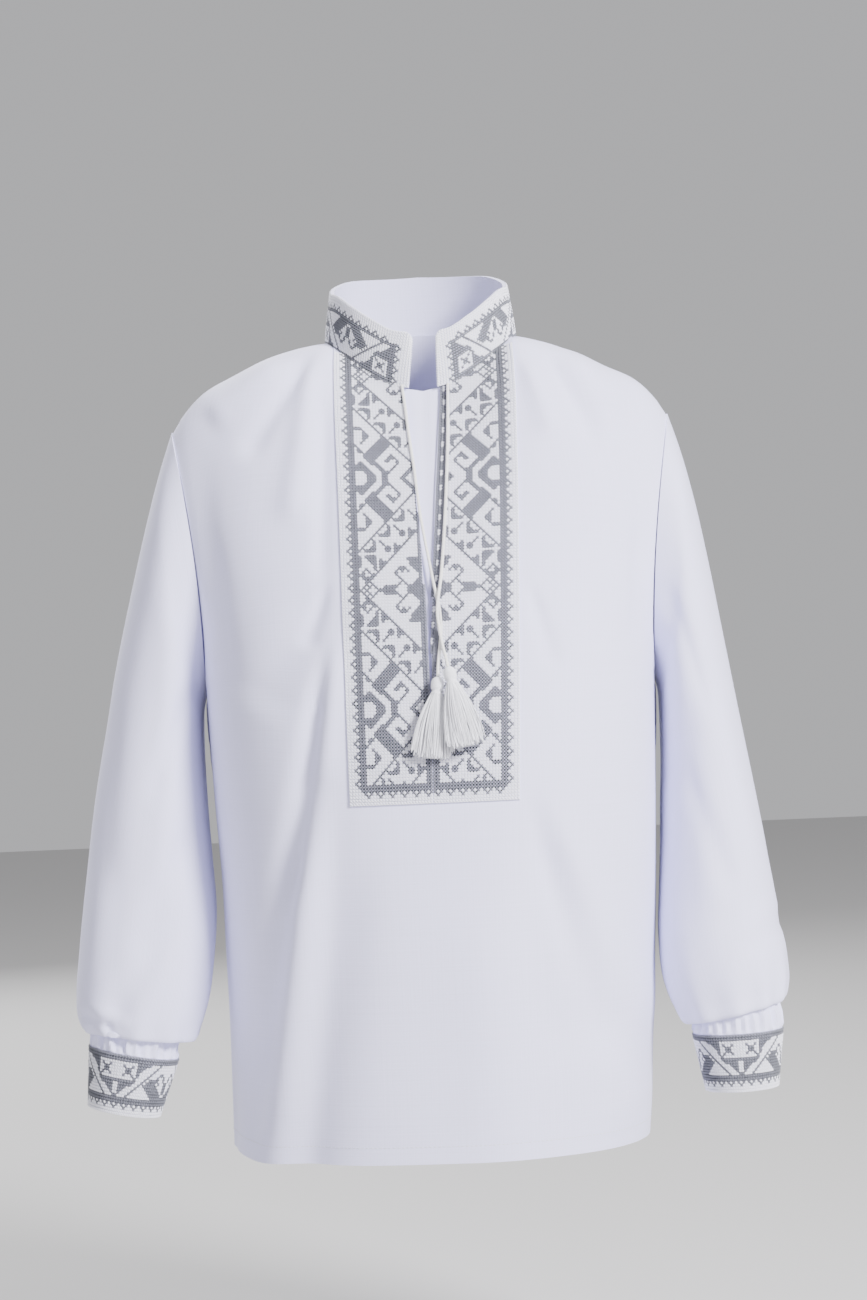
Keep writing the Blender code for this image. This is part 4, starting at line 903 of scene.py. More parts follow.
def cloth_material(name, text):
    """Plain-woven shirting: fine crossing threads of uneven thickness give faint streaks both ways."""
    material, tree, shader = new_material(name, text, 0.72, Sheen_Weight=0.25, Sheen_Roughness=0.5)
    spot = node(tree, "ShaderNodeUVMap", uv_map="cloth").outputs[0]
    heights = []
    for scale in ((900, 14, 1), (14, 900, 1)):
        turned = node(tree, "ShaderNodeMapping", {"Vector": spot, "Scale": scale}).outputs[0]
        slub = node(tree, "ShaderNodeTexNoise", {"Vector": turned, "Scale": 1.0, "Detail": 2.0})
        heights.append(slub.outputs["Fac"])
    total = node(tree, "ShaderNodeMath", {0: heights[0], 1: heights[1]}, operation="ADD").outputs[0]
    bump = node(tree, "ShaderNodeBump", {"Height": total, "Strength": 0.22, "Distance": 0.0004})
    tree.links.new(bump.outputs[0], shader.inputs["Normal"])
    shade = node(tree, "ShaderNodeMapRange", {"Value": total, 1: 0.7, 2: 1.3, 3: 0.965, 4: 1.0}).outputs[0]
    mixed = node(tree, "ShaderNodeVectorMath", {0: colour(text)[:3], "Scale": shade}, operation="SCALE")
    tree.links.new(mixed.outputs[0], shader.inputs["Base Color"])
    return material


def thread_material(name, text, roughness, spread):
    """Stranded thread: slight differences from stitch to stitch, and a soft sheen along the strands."""
    material, tree, shader = new_material(name, text, roughness, Sheen_Weight=0.2, Anisotropic=0.4)
    spot = node(tree, "ShaderNodeTexCoord").outputs["Object"]
    noise = node(tree, "ShaderNodeTexNoise", {"Vector": spot, "Scale": 900.0, "Detail": 1.0}).outputs["Fac"]
    shade = node(tree, "ShaderNodeMapRange", {"Value": noise, 1: 0.3, 2: 0.7, 3: 1 - spread, 4: 1 + spread})
    mixed = node(
        tree, "ShaderNodeVectorMath", {0: colour(text)[:3], "Scale": shade.outputs[0]}, operation="SCALE"
    )
    tree.links.new(mixed.outputs[0], shader.inputs["Base Color"])
    return material


def cord_material(name, text):
    """Twisted cord: slanting grooves between its plies give it a rope's dark and light stripes."""
    material, tree, shader = new_material(name, text, 0.5, Sheen_Weight=0.2)
    spot = node(tree, "ShaderNodeTexCoord").outputs["Object"]
    slant = (0, math.radians(35), 0)
    turned = node(tree, "ShaderNodeMapping", {"Vector": spot, "Rotation": slant}).outputs[0]
    wave = node(
        tree, "ShaderNodeTexWave", {"Vector": turned, "Scale": 190.0, "Distortion": 0.4}, bands_direction="Z"
    ).outputs["Fac"]
    bump = node(tree, "ShaderNodeBump", {"Height": wave, "Strength": 0.6, "Distance": 0.0004})
    tree.links.new(bump.outputs[0], shader.inputs["Normal"])
    return material


def made_plain(obj):
    """Turns a piece's modifiers into plain geometry."""
    graph = bpy.context.evaluated_depsgraph_get()
    mesh = bpy.data.meshes.new_from_object(obj.evaluated_get(graph), depsgraph=graph)
    obj.modifiers.clear()
    obj.data = mesh
    return obj


def add_modifier(obj, tree, **values):
    """Puts a geometry tree on an object and sets the tree's inputs by name."""
    modifier = obj.modifiers.new(tree.name, "NODES")
    modifier.node_group = tree
    for item in tree.interface.items_tree:
        if item.item_type == "SOCKET" and item.in_out == "INPUT" and item.name in values:
            modifier[item.identifier] = values[item.name]
    return made_plain(obj)


def new_tree(name, **inputs):
    """A geometry tree that takes a mesh, a thread material and more inputs, and their sockets in it."""
    tree = bpy.data.node_groups.new(name, "GeometryNodeTree")
    for label, kind in {"Geometry": "Geometry", "Thread": "Material", **inputs}.items():
        tree.interface.new_socket(label.replace("_", " "), in_out="INPUT", socket_type=f"NodeSocket{kind}")
    tree.interface.new_socket("Geometry", in_out="OUTPUT", socket_type="NodeSocketGeometry")
    return tree, node(tree, "NodeGroupInput").outputs


def finish_tree(tree, geometry, thread):
    """Makes the geometry real, dyes it and gives it out."""
    real = node(tree, "GeometryNodeRealizeInstances", {0: geometry}).outputs[0]
    dyed = node(tree, "GeometryNodeSetMaterial", {"Geometry": real, "Material": thread}).outputs[0]
    node(tree, "NodeGroupOutput", {0: dyed})
    return tree


def scatter_tree():
    """Copies one small mesh to every point, turned to the point's own normal and direction."""
    tree, given = new_tree("scatter", Stitch="Object", Turn="Float", Size_spread="Float", Seed="Int")
    normal, across = (
        node(tree, "GeometryNodeInputNamedAttribute", {"Name": name}, data_type="FLOAT_VECTOR").outputs[0]
        for name in ("up", "across")
    )
    axes = node(
        tree, "FunctionNodeAxesToRotation", {0: normal, 1: across}, primary_axis="Z", secondary_axis="X"
    )
    low_turn = node(tree, "ShaderNodeMath", {0: given["Turn"], 1: -1.0}, operation="MULTIPLY").outputs[0]
    limits = {"Min": low_turn, "Max": given["Turn"], "Seed": given["Seed"]}
    turn = node(tree, "FunctionNodeRandomValue", limits)
    wobble = node(tree, "ShaderNodeCombineXYZ", {"Z": value_of(turn)}).outputs[0]
    turned = node(
        tree, "FunctionNodeRotateRotation", {0: axes.outputs[0], 1: wobble}, rotation_space="LOCAL"
    ).outputs[0]
    least = node(tree, "ShaderNodeMath", {0: 1.0, 1: given["Size spread"]}, operation="SUBTRACT").outputs[0]
    size = node(tree, "FunctionNodeRandomValue", {"Min": least, "Max": 1.0, "Seed": given["Seed"]})
    source = node(tree, "GeometryNodeObjectInfo", {"Object": given["Stitch"]}).outputs["Geometry"]
    copies = node(
        tree, "GeometryNodeInstanceOnPoints",
        {"Points": given["Geometry"], "Instance": source, "Rotation": turned, "Scale": value_of(size)},
    ).outputs[0]
    return finish_tree(tree, copies, given["Thread"])


def value_of(made):
    """The number that a random value node gives."""
    return next(out for out in made.outputs if out.enabled and out.type == "VALUE")


def strands_tree():
    """Turns thin lines into threads with a few sides."""
    tree, given = new_tree("threads", Radius="Float", Sides="Int")
    lines = node(tree, "GeometryNodeMeshToCurve", {"Mesh": given["Geometry"]}).outputs[0]
    ring = node(
        tree, "GeometryNodeCurvePrimitiveCircle", {"Resolution": given["Sides"], "Radius": given["Radius"]}
    ).outputs[0]
    tubes = node(tree, "GeometryNodeCurveToMesh", {"Curve": lines, "Profile Curve": ring, "Fill Caps": True})
    return finish_tree(tree, tubes.outputs[0], given["Thread"])


def add_points(name, points, ups, across):
    """A mesh of loose points, each with its normal and its direction."""
    mesh = bpy.data.meshes.new(name)
    mesh.from_pydata(np.asarray(points).tolist(), [], [])
    for label, values in (("up", ups), ("across", across)):
        layer = mesh.attributes.new(label, "FLOAT_VECTOR", "POINT")
        layer.data.foreach_set("vector", np.asarray(values, float).ravel())
    obj = bpy.data.objects.new(name, mesh)
    bpy.context.scene.collection.objects.link(obj)
    return obj


def add_scatter(name, spots, stitch, material, tree, seed, turn=0.06, spread=0.08):
    """A piece made of copies of one stitch at the given spots. A spot is a point, normal and direction."""
    points, ups, across = (np.concatenate([spot[k] for spot in spots]) for k in range(3))
    obj = add_points(name, points, ups, across)
    add_modifier(
        obj, tree, **{"Stitch": stitch, "Thread": material, "Turn": turn, "Size spread": spread, "Seed": seed}
    )
    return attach(obj, "root")


def strand_faces(base=0):
    """The faces of a strand made of four cross rows of three points."""
    corners = (base + 3 * k + j for k in range(3) for j in range(2))
    return [(a, a + 3, a + 4, a + 1) for a in corners]


def cross_mesh(name, wide, high, thick):
    """One cross stitch: a strand along each diagonal, the second over the first."""
    points, faces = [], []
    for turn, over in ((1, 0.0), (-1, CROSS_OVER)):
        start, end = np.array([-wide / 2, -turn * high / 2]), np.array([wide / 2, turn * high / 2])
        along = (end - start) / np.linalg.norm(end - start)
        side = np.array([-along[1], along[0]])
        base = len(points)
        for t, up in CROSS_ALONG:
            middle = start + (end - start) * t
            up += over if up else 0.0
            for out, rise in CROSS_SECTION:
                x, y = middle + side * thick * out
                points.append((x, y, thick * (up * STRAND_FLAT + rise * STRAND_FLAT)))
        faces += strand_faces(base)
    return add_mesh(name, points, faces, None, sharp=0)


def disc_mesh(name, radius, sides):
    turn = 2 * math.pi * np.arange(sides) / sides
    points = np.stack([np.cos(turn) * radius, np.sin(turn) * radius, np.zeros(sides)], 1)
    return add_mesh(name, points, [tuple(range(sides))], None, sharp=0)


def dash_mesh(name, long, thick):
    """One short straight stitch, humped in the middle."""
    points = []
    for x, up in DASH_ALONG:
        for y, rise in DASH_SECTION:
            points.append((x * long, y * thick, (up + rise) * thick * STRAND_FLAT))
    return add_mesh(name, points, strand_faces(), None, sharp=0)


class Chart:
    """A chart of squares: True is a grey stitch. Column and row 0 are at one corner."""

    def __init__(self, wide, high):
        self.cells = np.zeros((high, wide), bool)

    def dot(self, column, row, size=1):
        high, wide = self.cells.shape
        for r in range(row, row + size):
            for c in range(column, column + size):
                if 0 <= r < high and 0 <= c < wide:
                    self.cells[r, c] = True

    def line(self, c0, r0, c1, r1, size=1):
        steps = max(abs(c1 - c0), abs(r1 - r0), 1)
        for k in range(steps + 1):
            self.dot(round(c0 + (c1 - c0) * k / steps), round(r0 + (r1 - r0) * k / steps), size)

    def path(self, *corners):
        for (c0, r0), (c1, r1) in zip(corners, corners[1:]):
            self.line(c0, r0, c1, r1)

    def fill(self, *corners):
        """Fills a polygon: the squares whose middles lie inside it."""
        high, wide = self.cells.shape
        rows, columns = np.mgrid[0:high, 0:wide]
        inside = np.zeros((high, wide), bool)
        for (x0, y0), (x1, y1) in zip(corners, corners[1:] + corners[:1]):
            crosses = (y0 > rows) != (y1 > rows)
            with np.errstate(divide="ignore", invalid="ignore"):
                left = columns < (x1 - x0) * (rows - y0) / (y1 - y0 if y1 != y0 else 1e-9) + x0
            inside ^= crosses & left
        self.cells |= inside

    def diamond(self, column, row, radius, thick=1):
        high, wide = self.cells.shape
        rows, columns = np.mgrid[0:high, 0:wide]
        far = np.abs(rows - row) + np.abs(columns - column)
        self.cells |= (far <= radius) & (far > radius - thick)


def ring_tile():
    """Half a period of the bib, from a ring's middle row to a bar's: columns from the outer border."""
    chart = Chart(INSIDE_WIDE, HALF_PERIOD + 1)
    last = INSIDE_WIDE - 1
    chart.line(0, 24, last, 24 - last)
    chart.line(0, HALF_PERIOD, last, HALF_PERIOD - last)
    # The ring round the slit, the arrowhead and the bracket with its arm and its curled horn.
    chart.diamond(last, 0, 4, 2)
    chart.fill((2.5, -1), (6.6, -1), (6.6, 0.6), (3.4, 4.4), (1.6, 3.0), (3.6, 0.8))
    chart.line(9, 0, 9, 3)
    chart.line(10, 0, 10, 2)
    chart.line(9, 3, 6, 6)
    chart.line(8, 3, 6, 5)
    chart.path((11, 2), (14, 5), (14, 6), (12, 8), (10, 6))
    chart.line(11, 6, 12, 7)
    chart.diamond(1, 4, 1)
    chart.dot(1, 4)
    chart.dot(2, 5)
    chart.dot(0, 3)
    # The thick slanting bar under the bracket, and the two hooks on the border.
    chart.fill((2.4, 7.4), (5.4, 4.6), (12.4, 12.4), (9.6, 15.4))
    chart.path((0, 11), (3, 8))
    chart.dot(1, 9)
    chart.path((0, 17), (2, 17), (4, 15), (4, 14), (2, 12))
    chart.line(3, 15, 3, 13)
    # The flowers between the two slanting lines: squares with a tail, and triangles on either side.
    for column, row in ((4, 29), (9, 24), (14, 19), (19, 14)):
        chart.line(column + 3, row - 2, column + 3, row + 1)
        chart.line(column + 4, row - 1, column + 4, row)
        chart.dot(column + 5, row - 1)
        for step, deep in enumerate((4, 2, 1, 1)):
            chart.line(column - 4 - step, row, column - 4 - step, row + 1 - deep)
        if column > 4:
            chart.dot(column, row - 1, 2)
            chart.line(column - 1, row - 2, column - 2, row - 3)
    for column, high in ((5, 5), (4, 3), (3, 2), (2, 1)):
        chart.line(column, 26, column, 25 + high)
    chart.diamond(2, 32, 2)
    # The bar between two horned hooks, the small diamond and the solid corner beside the slit.
    chart.line(7, HALF_PERIOD, 11, HALF_PERIOD)
    chart.line(8, HALF_PERIOD - 1, 11, HALF_PERIOD - 1)
    chart.diamond(4, HALF_PERIOD, 2)
    chart.path((1, HALF_PERIOD - 5), (6, HALF_PERIOD))
    chart.path((12, HALF_PERIOD - 1), (14, HALF_PERIOD - 3), (16, HALF_PERIOD - 1))
    chart.path((14, HALF_PERIOD - 3), (12, HALF_PERIOD - 5), (12, HALF_PERIOD - 6), (13, HALF_PERIOD - 7))
    chart.path((13, HALF_PERIOD - 7), (15, HALF_PERIOD - 7), (16, HALF_PERIOD - 6))
    chart.dot(14, HALF_PERIOD - 6)
    chart.fill((last - 3.5, 26.6), (last + 1, 26.6), (last + 1, 31.6), (last - 0.5, 31.6))
    chart.fill((last - 0.4, 37.6), (last - 3.6, 37.6), (last + 0.6, 32.4), (last + 0.6, 37.6))
    return chart.cells


def bib_chart(rows, columns):
    """The whole half: white edge, picots, double border, and the mirrored and repeated tile."""
    grey = np.zeros((rows, columns), bool)
    tile = ring_tile()
    inner_border = INSIDE_FROM + INSIDE_WIDE
    for row in range(INSIDE_FROM, rows):
        step = (row - FIRST_RING_ROW) % (2 * HALF_PERIOD)
        tile_row = step if step <= HALF_PERIOD else 2 * HALF_PERIOD - step
        wide = min(INSIDE_WIDE, columns - INSIDE_FROM)
        grey[row, INSIDE_FROM : INSIDE_FROM + wide] = tile[tile_row, :wide]
        grey[row, inner_border : inner_border + 2] = True
    border_from = EDGE_WHITE + PICOT_WIDE
    grey[border_from:, border_from:INSIDE_FROM] = True
    grey[border_from:INSIDE_FROM, border_from:] = True
    for start in range(border_from + 1, max(rows, columns), PICOT_STEP):
        for along, out in ((0, 1), (2, 1), (1, 2)):
            if start + along < rows:
                grey[start + along, border_from - out] = True
            if start + along < columns:
                grey[border_from - out, start + along] = True
    return grey


def band_tile(high):
    """Half a period of the collar's and the cuffs' band. Row 0 is towards the free edge."""
    chart = Chart(BAND_HALF_PERIOD, 13)
    # Rows are counted from the seam here. A flower over a bar, and a split stem under it.
    chart.dot(3, 2, 2)
    for column, row in ((2, 1), (5, 1), (2, 4), (5, 4)):
        chart.dot(column, row)
    chart.line(0, 6, 6, 6)
    for row, wide in ((7, 5), (8, 3), (9, 2), (10, 1)):
        chart.line(1, row, wide, row)
    chart.dot(0, 11)
    # The stepped corner beside the flower, and the thin slanting line.
    for row, wide in ((0, 5), (1, 3), (2, 2), (3, 1), (4, 1)):
        chart.line(7, row, 6 + wide, row)
    chart.dot(6, 5)
    chart.line(15, 0, 3, 12)
    # The thick slanting bar and the curled hook, which meet their mirror images at the period's end.
    chart.fill((9.6, 6.6), (12.4, 3.6), (19.4, 11.4), (18.4, 13.4), (15.6, 13.4))
    chart.path((19, 9), (19, 6), (18, 4), (17, 3), (16, 3), (15, 4), (15, 5))
    chart.dot(14, 5)
    chart.dot(16, 6)
    return chart.cells[:high][::-1]


def band_chart(columns, rows, white, lines, front_edge=False, phase=0):
    """A band: white rows at its free edge, picots, lines, the tile, and a double line at its seam.

    With a front edge the first and last columns get a white margin and an upright border.
    """
    grey = np.zeros((rows, columns), bool)
    tile_from = white + PICOT_WIDE + lines
    tile = band_tile(rows - tile_from - 2)
    period = tile.shape[1]
    margin = BAND_MARGIN if front_edge else 0
    for column in range(columns):
        near = min(column, columns - 1 - column) - margin + 1 if front_edge else column + phase
        step = near % (2 * period)
        step = step if step < period else 2 * period - 1 - step
        grey[tile_from : rows - 2, column] = tile[:, step]
        grey[white + PICOT_WIDE : tile_from, column] = grey[rows - 2 :, column] = True
        if column % PICOT_STEP != 3:
            grey[white + (0 if column % PICOT_STEP == 1 else 1), column] = True
        grey[rows - 1, column] = True
    if front_edge:
        for end in (slice(0, margin), slice(columns - margin, columns)):
            grey[:, end] = False
        for column in (margin - 2, margin - 1, columns - margin, columns - margin + 1):
            grey[white + PICOT_WIDE :, column] = True
        for row in range(white + PICOT_WIDE, rows, PICOT_STEP):
            for out, along in ((3, 0), (3, 2), (4, 1)):
                for column in (margin - out, columns - 1 - margin + out):
                    grey[min(row + along, rows - 1), column] = True
    return grey


def on_band(grid, normals, rows, columns):
    """Gives the places of a band's stitches, whose rows and columns fan out with the band's grid."""
    surface = Surface(grid, normals)

    def spots_at(row, places):
        *_, length = surface.places(row * (len(grid) - 1) / rows, np.zeros(1))
        at, up, across, inside, _ = surface.places(row * (len(grid) - 1) / rows, places / columns * length)
        return at, up, across, inside

    return spots_at


def on_bib(side, ground, strip=False):
    """Gives the places of a bib half's stitches: straight rows and columns in the front view.

    Rows are counted from the foot along the cloth, and columns from the outer edge, or for the
    turned-in strip from the slit's edge.
    """
    heights = np.linspace(BIB_FOOT_Z, 0.0, PROFILE_POINTS)
    profiles_x = side * np.linspace(PROFILE_FROM, PROFILE_TO, PROFILES)
    profiles = []
    for x in profiles_x:
        line = np.array([ground.at(x, z)[0] for z in heights])
        profiles.append(np.concatenate([[0], np.cumsum(np.linalg.norm(np.diff(line, axis=0), axis=1))]))

    def pitch_at(z):
        z = np.minimum(z, SLIT_FOOT_Z - JOIN_FADE)
        return np.abs(bib_edge(side, z, "out") - bib_edge(side, z, "in")) / BIB_STITCH_COLUMNS

    def spots_at(row, places):
        levels = [np.interp(row * PITCH_DOWN, along, heights) for along in profiles]
        z = np.full(len(places), levels[PROFILES // 2])
        for _ in range(3):
            near, wide = bib_edge(side, z, "in"), look_up(BIB, "strip", z)
            x = (near if strip else bib_edge(side, z, "out")) - side * places * pitch_at(z)
            z = np.interp(side * x, side * profiles_x, levels)
        inside = side * (x - near) > (-wide if strip else 0.0)
        inside &= z < np.array([neck_z_at(value) for value in x]) - BIB_TOP_MARGIN
        points, ups = np.zeros((len(x), 3)), np.tile([0.0, -1.0, 0.0], (len(x), 1))
        for k in np.flatnonzero(inside):
            drop = STRIP_DROP * abs(x[k] - near[k]) / max(wide[k], STRIP_FULL) if strip else 0.0
            spot, up = ground.at(x[k], z[k])
            points[k] = spot + up * (BIB_LAY + BIB_SHELL - drop)
            ups[k] = up
        right = np.array([1.0, 0.0, 0.0])
        across = unit(right - ups * (ups @ right)[:, None])
        return points, ups, across, inside

    return spots_at


def work_stitches(name, grey, spots_at, tools):
    """Works a chart: grey and white stitches, with dark discs of painted shade beside the grey and pale ones
    elsewhere.

    spots_at(row, places) gives points, normals and directions, and which of them are on the cloth.
    """
    rows, columns = grey.shape
    spots = {True: [], False: []}
    painted_shade_spots = {True: [], False: []}
    for row in range(rows):
        at, up, across, inside = spots_at(row + 0.5, np.arange(columns) + 0.5)
        for kind in spots:
            chosen = inside & (grey[row] == kind)
            spots[kind].append(((at + up * STITCH_LIFT)[chosen], up[chosen], across[chosen]))
        # At each corner where stitches meet goes a disc of painted shade for the needle hole: dark where two
        # or more of them are grey, pale elsewhere.
        if row:
            at, up, across, inside = spots_at(row, np.arange(1.0, columns))
            near = grey[row, 1:].astype(int) + grey[row, :-1] + grey[row - 1, 1:] + grey[row - 1, :-1]
            for kind in painted_shade_spots:
                chosen = inside & ((near >= 2) == kind)
                lifted = at + up * (STITCH_LIFT + SHADE_DISC_LIFT)
                painted_shade_spots[kind].append((lifted[chosen], up[chosen], across[chosen]))
    for kind, word, hole in ((True, "grey", "dark"), (False, "white", "pale")):
        add_scatter(f"{name}_{word}", spots[kind], tools["cross"], tools[word], tools["scatter"], seed=3)
        if any(len(spot[0]) for spot in painted_shade_spots[kind]):
            add_scatter(
                f"{name}_{word}_holes", painted_shade_spots[kind], tools[f"{hole} hole"], tools[hole], tools["scatter"],
                turn=0.0, spread=0.3, seed=7,
            )


def finish_piece(obj, solid):
    """Fixes a piece to the shirt in place of its solid."""
    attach(obj, "root")
    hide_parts(solid)


def finish_band(name, grid, normals, inner, grey, tools):
    """The shell of the collar or a cuff, and its stitches, worked from the free edge."""
    obj = add_shell(f"{name}_cloth", grid, inner, tools["cloth"])
    work_stitches(f"{name}_stitch", grey, on_band(grid[::-1], normals[::-1], *grey.shape), tools)
    finish_piece(obj, name)
    return obj


def dress_panel(name, face, folds, rows_z, slit, tools):
    grid = fine_panel(face, rows_z, slit, folds)
    inner = grid - grid_normals(grid) * WALL
    foot = rows_z.index(SLIT_FOOT_Z) * ROW_STEPS if slit else 0
    middle = BODY_COLUMNS * COLUMN_STEPS
    missing = (lambda r, c: r >= foot and c == middle) if slit else None
    obj = add_shell(f"{name}_cloth", grid, inner, tools["cloth"], missing=missing)
    finish_piece(obj, name)
    return obj, grid


def dress_sleeve(name, side, tools):
    rings = sleeve_rings(side)
    if side < 0:
        rings = rings[:, ::-1]
    grid = refine(rings, [SLEEVE_ROW_STEPS] * (len(rings) - 1))
    grid = refine_across(grid, [SLEEVE_COLUMN_STEPS] * rings.shape[1], closed=True)
    normals = grid_normals(grid, closed=True)
    rows, columns = grid.shape[:2]
    lift = fold_height(grid, SLEEVE_FOLDS[side]) * (grid[..., 1] < 0)
    share = np.linspace(0, 1, rows)[:, None]
    turn = 2 * math.pi * np.arange(columns)[None, :] / columns
    pleats = np.sin(GATHERS * turn + GATHER_SWAY * np.sin(SWAYS * turn))
    pleats = pleats + WIDE_GATHER_SHARE * np.sin(WIDE_GATHERS * turn + WIDE_GATHER_START)
    lift = lift + GATHER_DEPTH * pleats * ease(*GATHER_IN, share) * (1 - ease(*GATHER_OUT, share))
    grid = grid + normals * lift[..., None]
    inner = grid - grid_normals(grid, closed=True) * WALL
    obj = add_shell(f"{name}_cloth", grid, inner, tools["cloth"], closed=True)
    finish_piece(obj, name)
    return obj


def dress_cuff(name, side, tools):
    start, sweep = CUFF_START, 2 * math.pi + CUFF_LAP
    turn = start - math.pi - np.linspace(0, sweep, BAND_COLUMN_STEPS * CUFF_COLUMNS + 1)
    done = (start - math.pi - turn) / sweep
    rise = [1 - share * CUFF_LAP / sweep for share in CUFF_LAP_RISE]
    lift = CUFF_LAP_LIFT * ease(*rise, done)
    rows = []
    for t in np.linspace(0, 1, BAND_ROWS):
        ring = cuff_ring(side, t, turn)
        middle = cuff_ring(side, t, np.array([0.0, math.pi])).mean(0)
        rows.append(ring + unit(ring - middle) * lift[:, None])
    grid = np.array(rows)
    if side > 0:
        grid = grid[:, ::-1]
    normals = grid_normals(grid)
    columns = round(2 * math.pi * CUFF_TOP[0] * (1 + CUFF_LAP / (2 * math.pi)) / CUFF_PITCH)
    grey = band_chart(columns, CUFF_STITCH_ROWS, white=2, lines=2, phase=CUFF_PHASE[side])
    return finish_band(name, grid, normals, grid - normals * CUFF_WALL, grey, tools)


def corner_drop(far):
    """How far a rounded corner lies below a square one, at a distance from the end."""
    inside = max(COLLAR_CORNER - far, 0.0)
    return COLLAR_CORNER - math.sqrt(COLLAR_CORNER**2 - inside**2)


def dress_collar(tools):
    rows = []
    for up in np.linspace(0, 1, BAND_ROWS):
        wide = float(look_up(COLLAR, "wide", up))
        deep = float(look_up(COLLAR, "deep", up))
        ends_x = [low + (high - low) * up for low, high in (COLLAR_END_X[-1], COLLAR_END_X[1])]
        left, right = (math.asin((x - NECK_X) / wide) for x in ends_x)
        row = []
        for angle in np.linspace(right, 2 * math.pi + left, BAND_COLUMN_STEPS * COLLAR_COLUMNS + 1):
            from_front = math.degrees(abs(math.remainder(angle, 2 * math.pi)))
            over = 2 * SEAM_GAP + COLLAR_OVER_BIB * (1 - ease(*COLLAR_OVER_BIB_ANGLES, from_front))
            high = over + float(look_up(COLLAR_HEIGHT, "high", from_front))
            near_end = min(angle - right, 2 * math.pi + left - angle) * wide
            drop = float(look_up(COLLAR_TRIM, "drop", from_front))
            high -= drop + corner_drop(near_end)
            z = float(look_up(NECK, "z", from_front)) - COLLAR_DIP + (high + COLLAR_DIP) * up
            out = COLLAR_OUT * (1 - up)
            row.append((NECK_X + (wide + out) * math.sin(angle), NECK_Y - (deep + out) * math.cos(angle), z))
        rows.append(row)
    grid = np.array(rows)
    normals = grid_normals(grid)
    inner = grid - normals * COLLAR_WALL
    inner[0, :, 2] = grid[0, :, 2]
    columns = round(np.linalg.norm(np.diff(grid[-1], axis=0), axis=1).sum() / COLLAR_PITCH)
    grey = band_chart(columns, COLLAR_STITCH_ROWS, white=3, lines=1, front_edge=True)
    return finish_band("collar", grid, normals, inner, grey, tools)


def dress_bib(name, side, ground, tools):
    """An embroidered half. Its grid runs from the outer edge to the slit, and over the turned-in strip."""
    strip = STRIP_SHARES if side > 0 else ()
    steps = BIB_COLUMN_STEPS * BIB_COLUMNS
    foot = BODY_ROWS_Z.index(BIB_FOOT_Z) * ROW_STEPS
    outer, inner = [], []
    for row in range(foot, len(ground.grid)):
        x, z = bib_place(side, row, 0.0, ground)
        wide = max(float(look_up(BIB, "strip", z)), STRIP_LEAST)
        places = [(bib_place(side, row, c / steps, ground)[0], 0.0) for c in range(steps, -1, -1)]
        for turned in strip:
            places.append((x - wide * turned, STRIP_DROP * turned * min(1.0, wide / STRIP_FULL)))
        row_out, row_in = [], []
        for x, drop in places:
            spot, normal = ground.on_row(row, x)
            under = BIB_LAY - drop
            row_out.append(spot + normal * (under + BIB_SHELL))
            row_in.append(spot + normal * under)
        outer.append(row_out)
        inner.append(row_in)
    outer, inner = np.array(outer), np.array(inner)
    turned = (slice(None), slice(None, None, -1))
    shown = (outer[turned], inner[turned]) if side > 0 else (outer, inner)
    obj = add_shell(f"{name}_cloth", *shown, tools["cloth"])
    grey = bib_chart(BIB_STITCH_ROWS, BIB_STITCH_COLUMNS)
    work_stitches(f"{name}_stitch", grey, on_bib(side, ground), tools)
    if strip:
        grey = np.zeros((BIB_STITCH_ROWS, 3), bool)
        grey[:, 0] = grey[:, 2] = True
        for start in range(3):
            grey[start :: PICOT_STEP + 1, 1] = True
        work_stitches(f"{name}_strip_stitch", grey, on_bib(side, ground, strip=True), tools)
    finish_piece(obj, name)
    return obj


def dress_guard(ground, tools):
    outer, normals = [], []
    columns_x = np.linspace(GUARD["left"], GUARD["right"], GUARD_COLUMNS)
    for z in np.linspace(GUARD["foot"], GUARD["top"], GUARD_ROWS):
        spots = [ground.at(x, min(z, neck_z_at(x) - BIB_TOP_DROP)) for x in columns_x]
        outer.append([spot - normal * (WALL + GUARD_GAP) for spot, normal in spots])
        normals.append([normal for _, normal in spots])
    outer, normals = np.array(outer), np.array(normals)
    crease = CREASE_DEPTH * np.exp(-(((outer[..., 0] - CREASE_X) / CREASE_HALF) ** 2))
    outer = outer - normals * crease[..., None]
    obj = add_shell("slit_guard_cloth", outer, outer - normals * GUARD_WALL, tools["cloth"])
    finish_piece(obj, "slit_guard")
    return obj


def lay_cord(name, side, ground, material):
    rows = CORD[side]
    knots = np.concatenate([[0], np.cumsum(np.hypot(np.diff(rows["x"]), np.diff(rows["z"])))])
    route = []
    for t in np.linspace(0, knots[-1], 3 * CORD_POINTS):
        x, z, lift = (float(follow(t, knots, rows[name])) for name in CORD_COLUMNS.split())
        spot, normal = ground.at(x, z)
        route.append(spot + normal * (BIB_LAY + BIB_SHELL + CORD_CLEAR + CORD_RADIUS + lift))
    curve = bpy.data.curves.new(f"{name}_cord", "CURVE")
    curve.dimensions = "3D"
    curve.bevel_depth = CORD_RADIUS
    curve.bevel_resolution = 3
    curve.use_fill_caps = True
    spline = curve.splines.new("POLY")
    spline.points.add(len(route) - 1)
    for point, place in zip(spline.points, route):
        point.co = (*place, 1.0)
    curve.materials.append(material)
    obj = bpy.data.objects.new(f"{name}_cord", curve)
    bpy.context.scene.collection.objects.link(obj)
    finish_piece(obj, name)
    length = float(np.linalg.norm(np.diff(route, axis=0), axis=1).sum())
    return obj, route[0], length


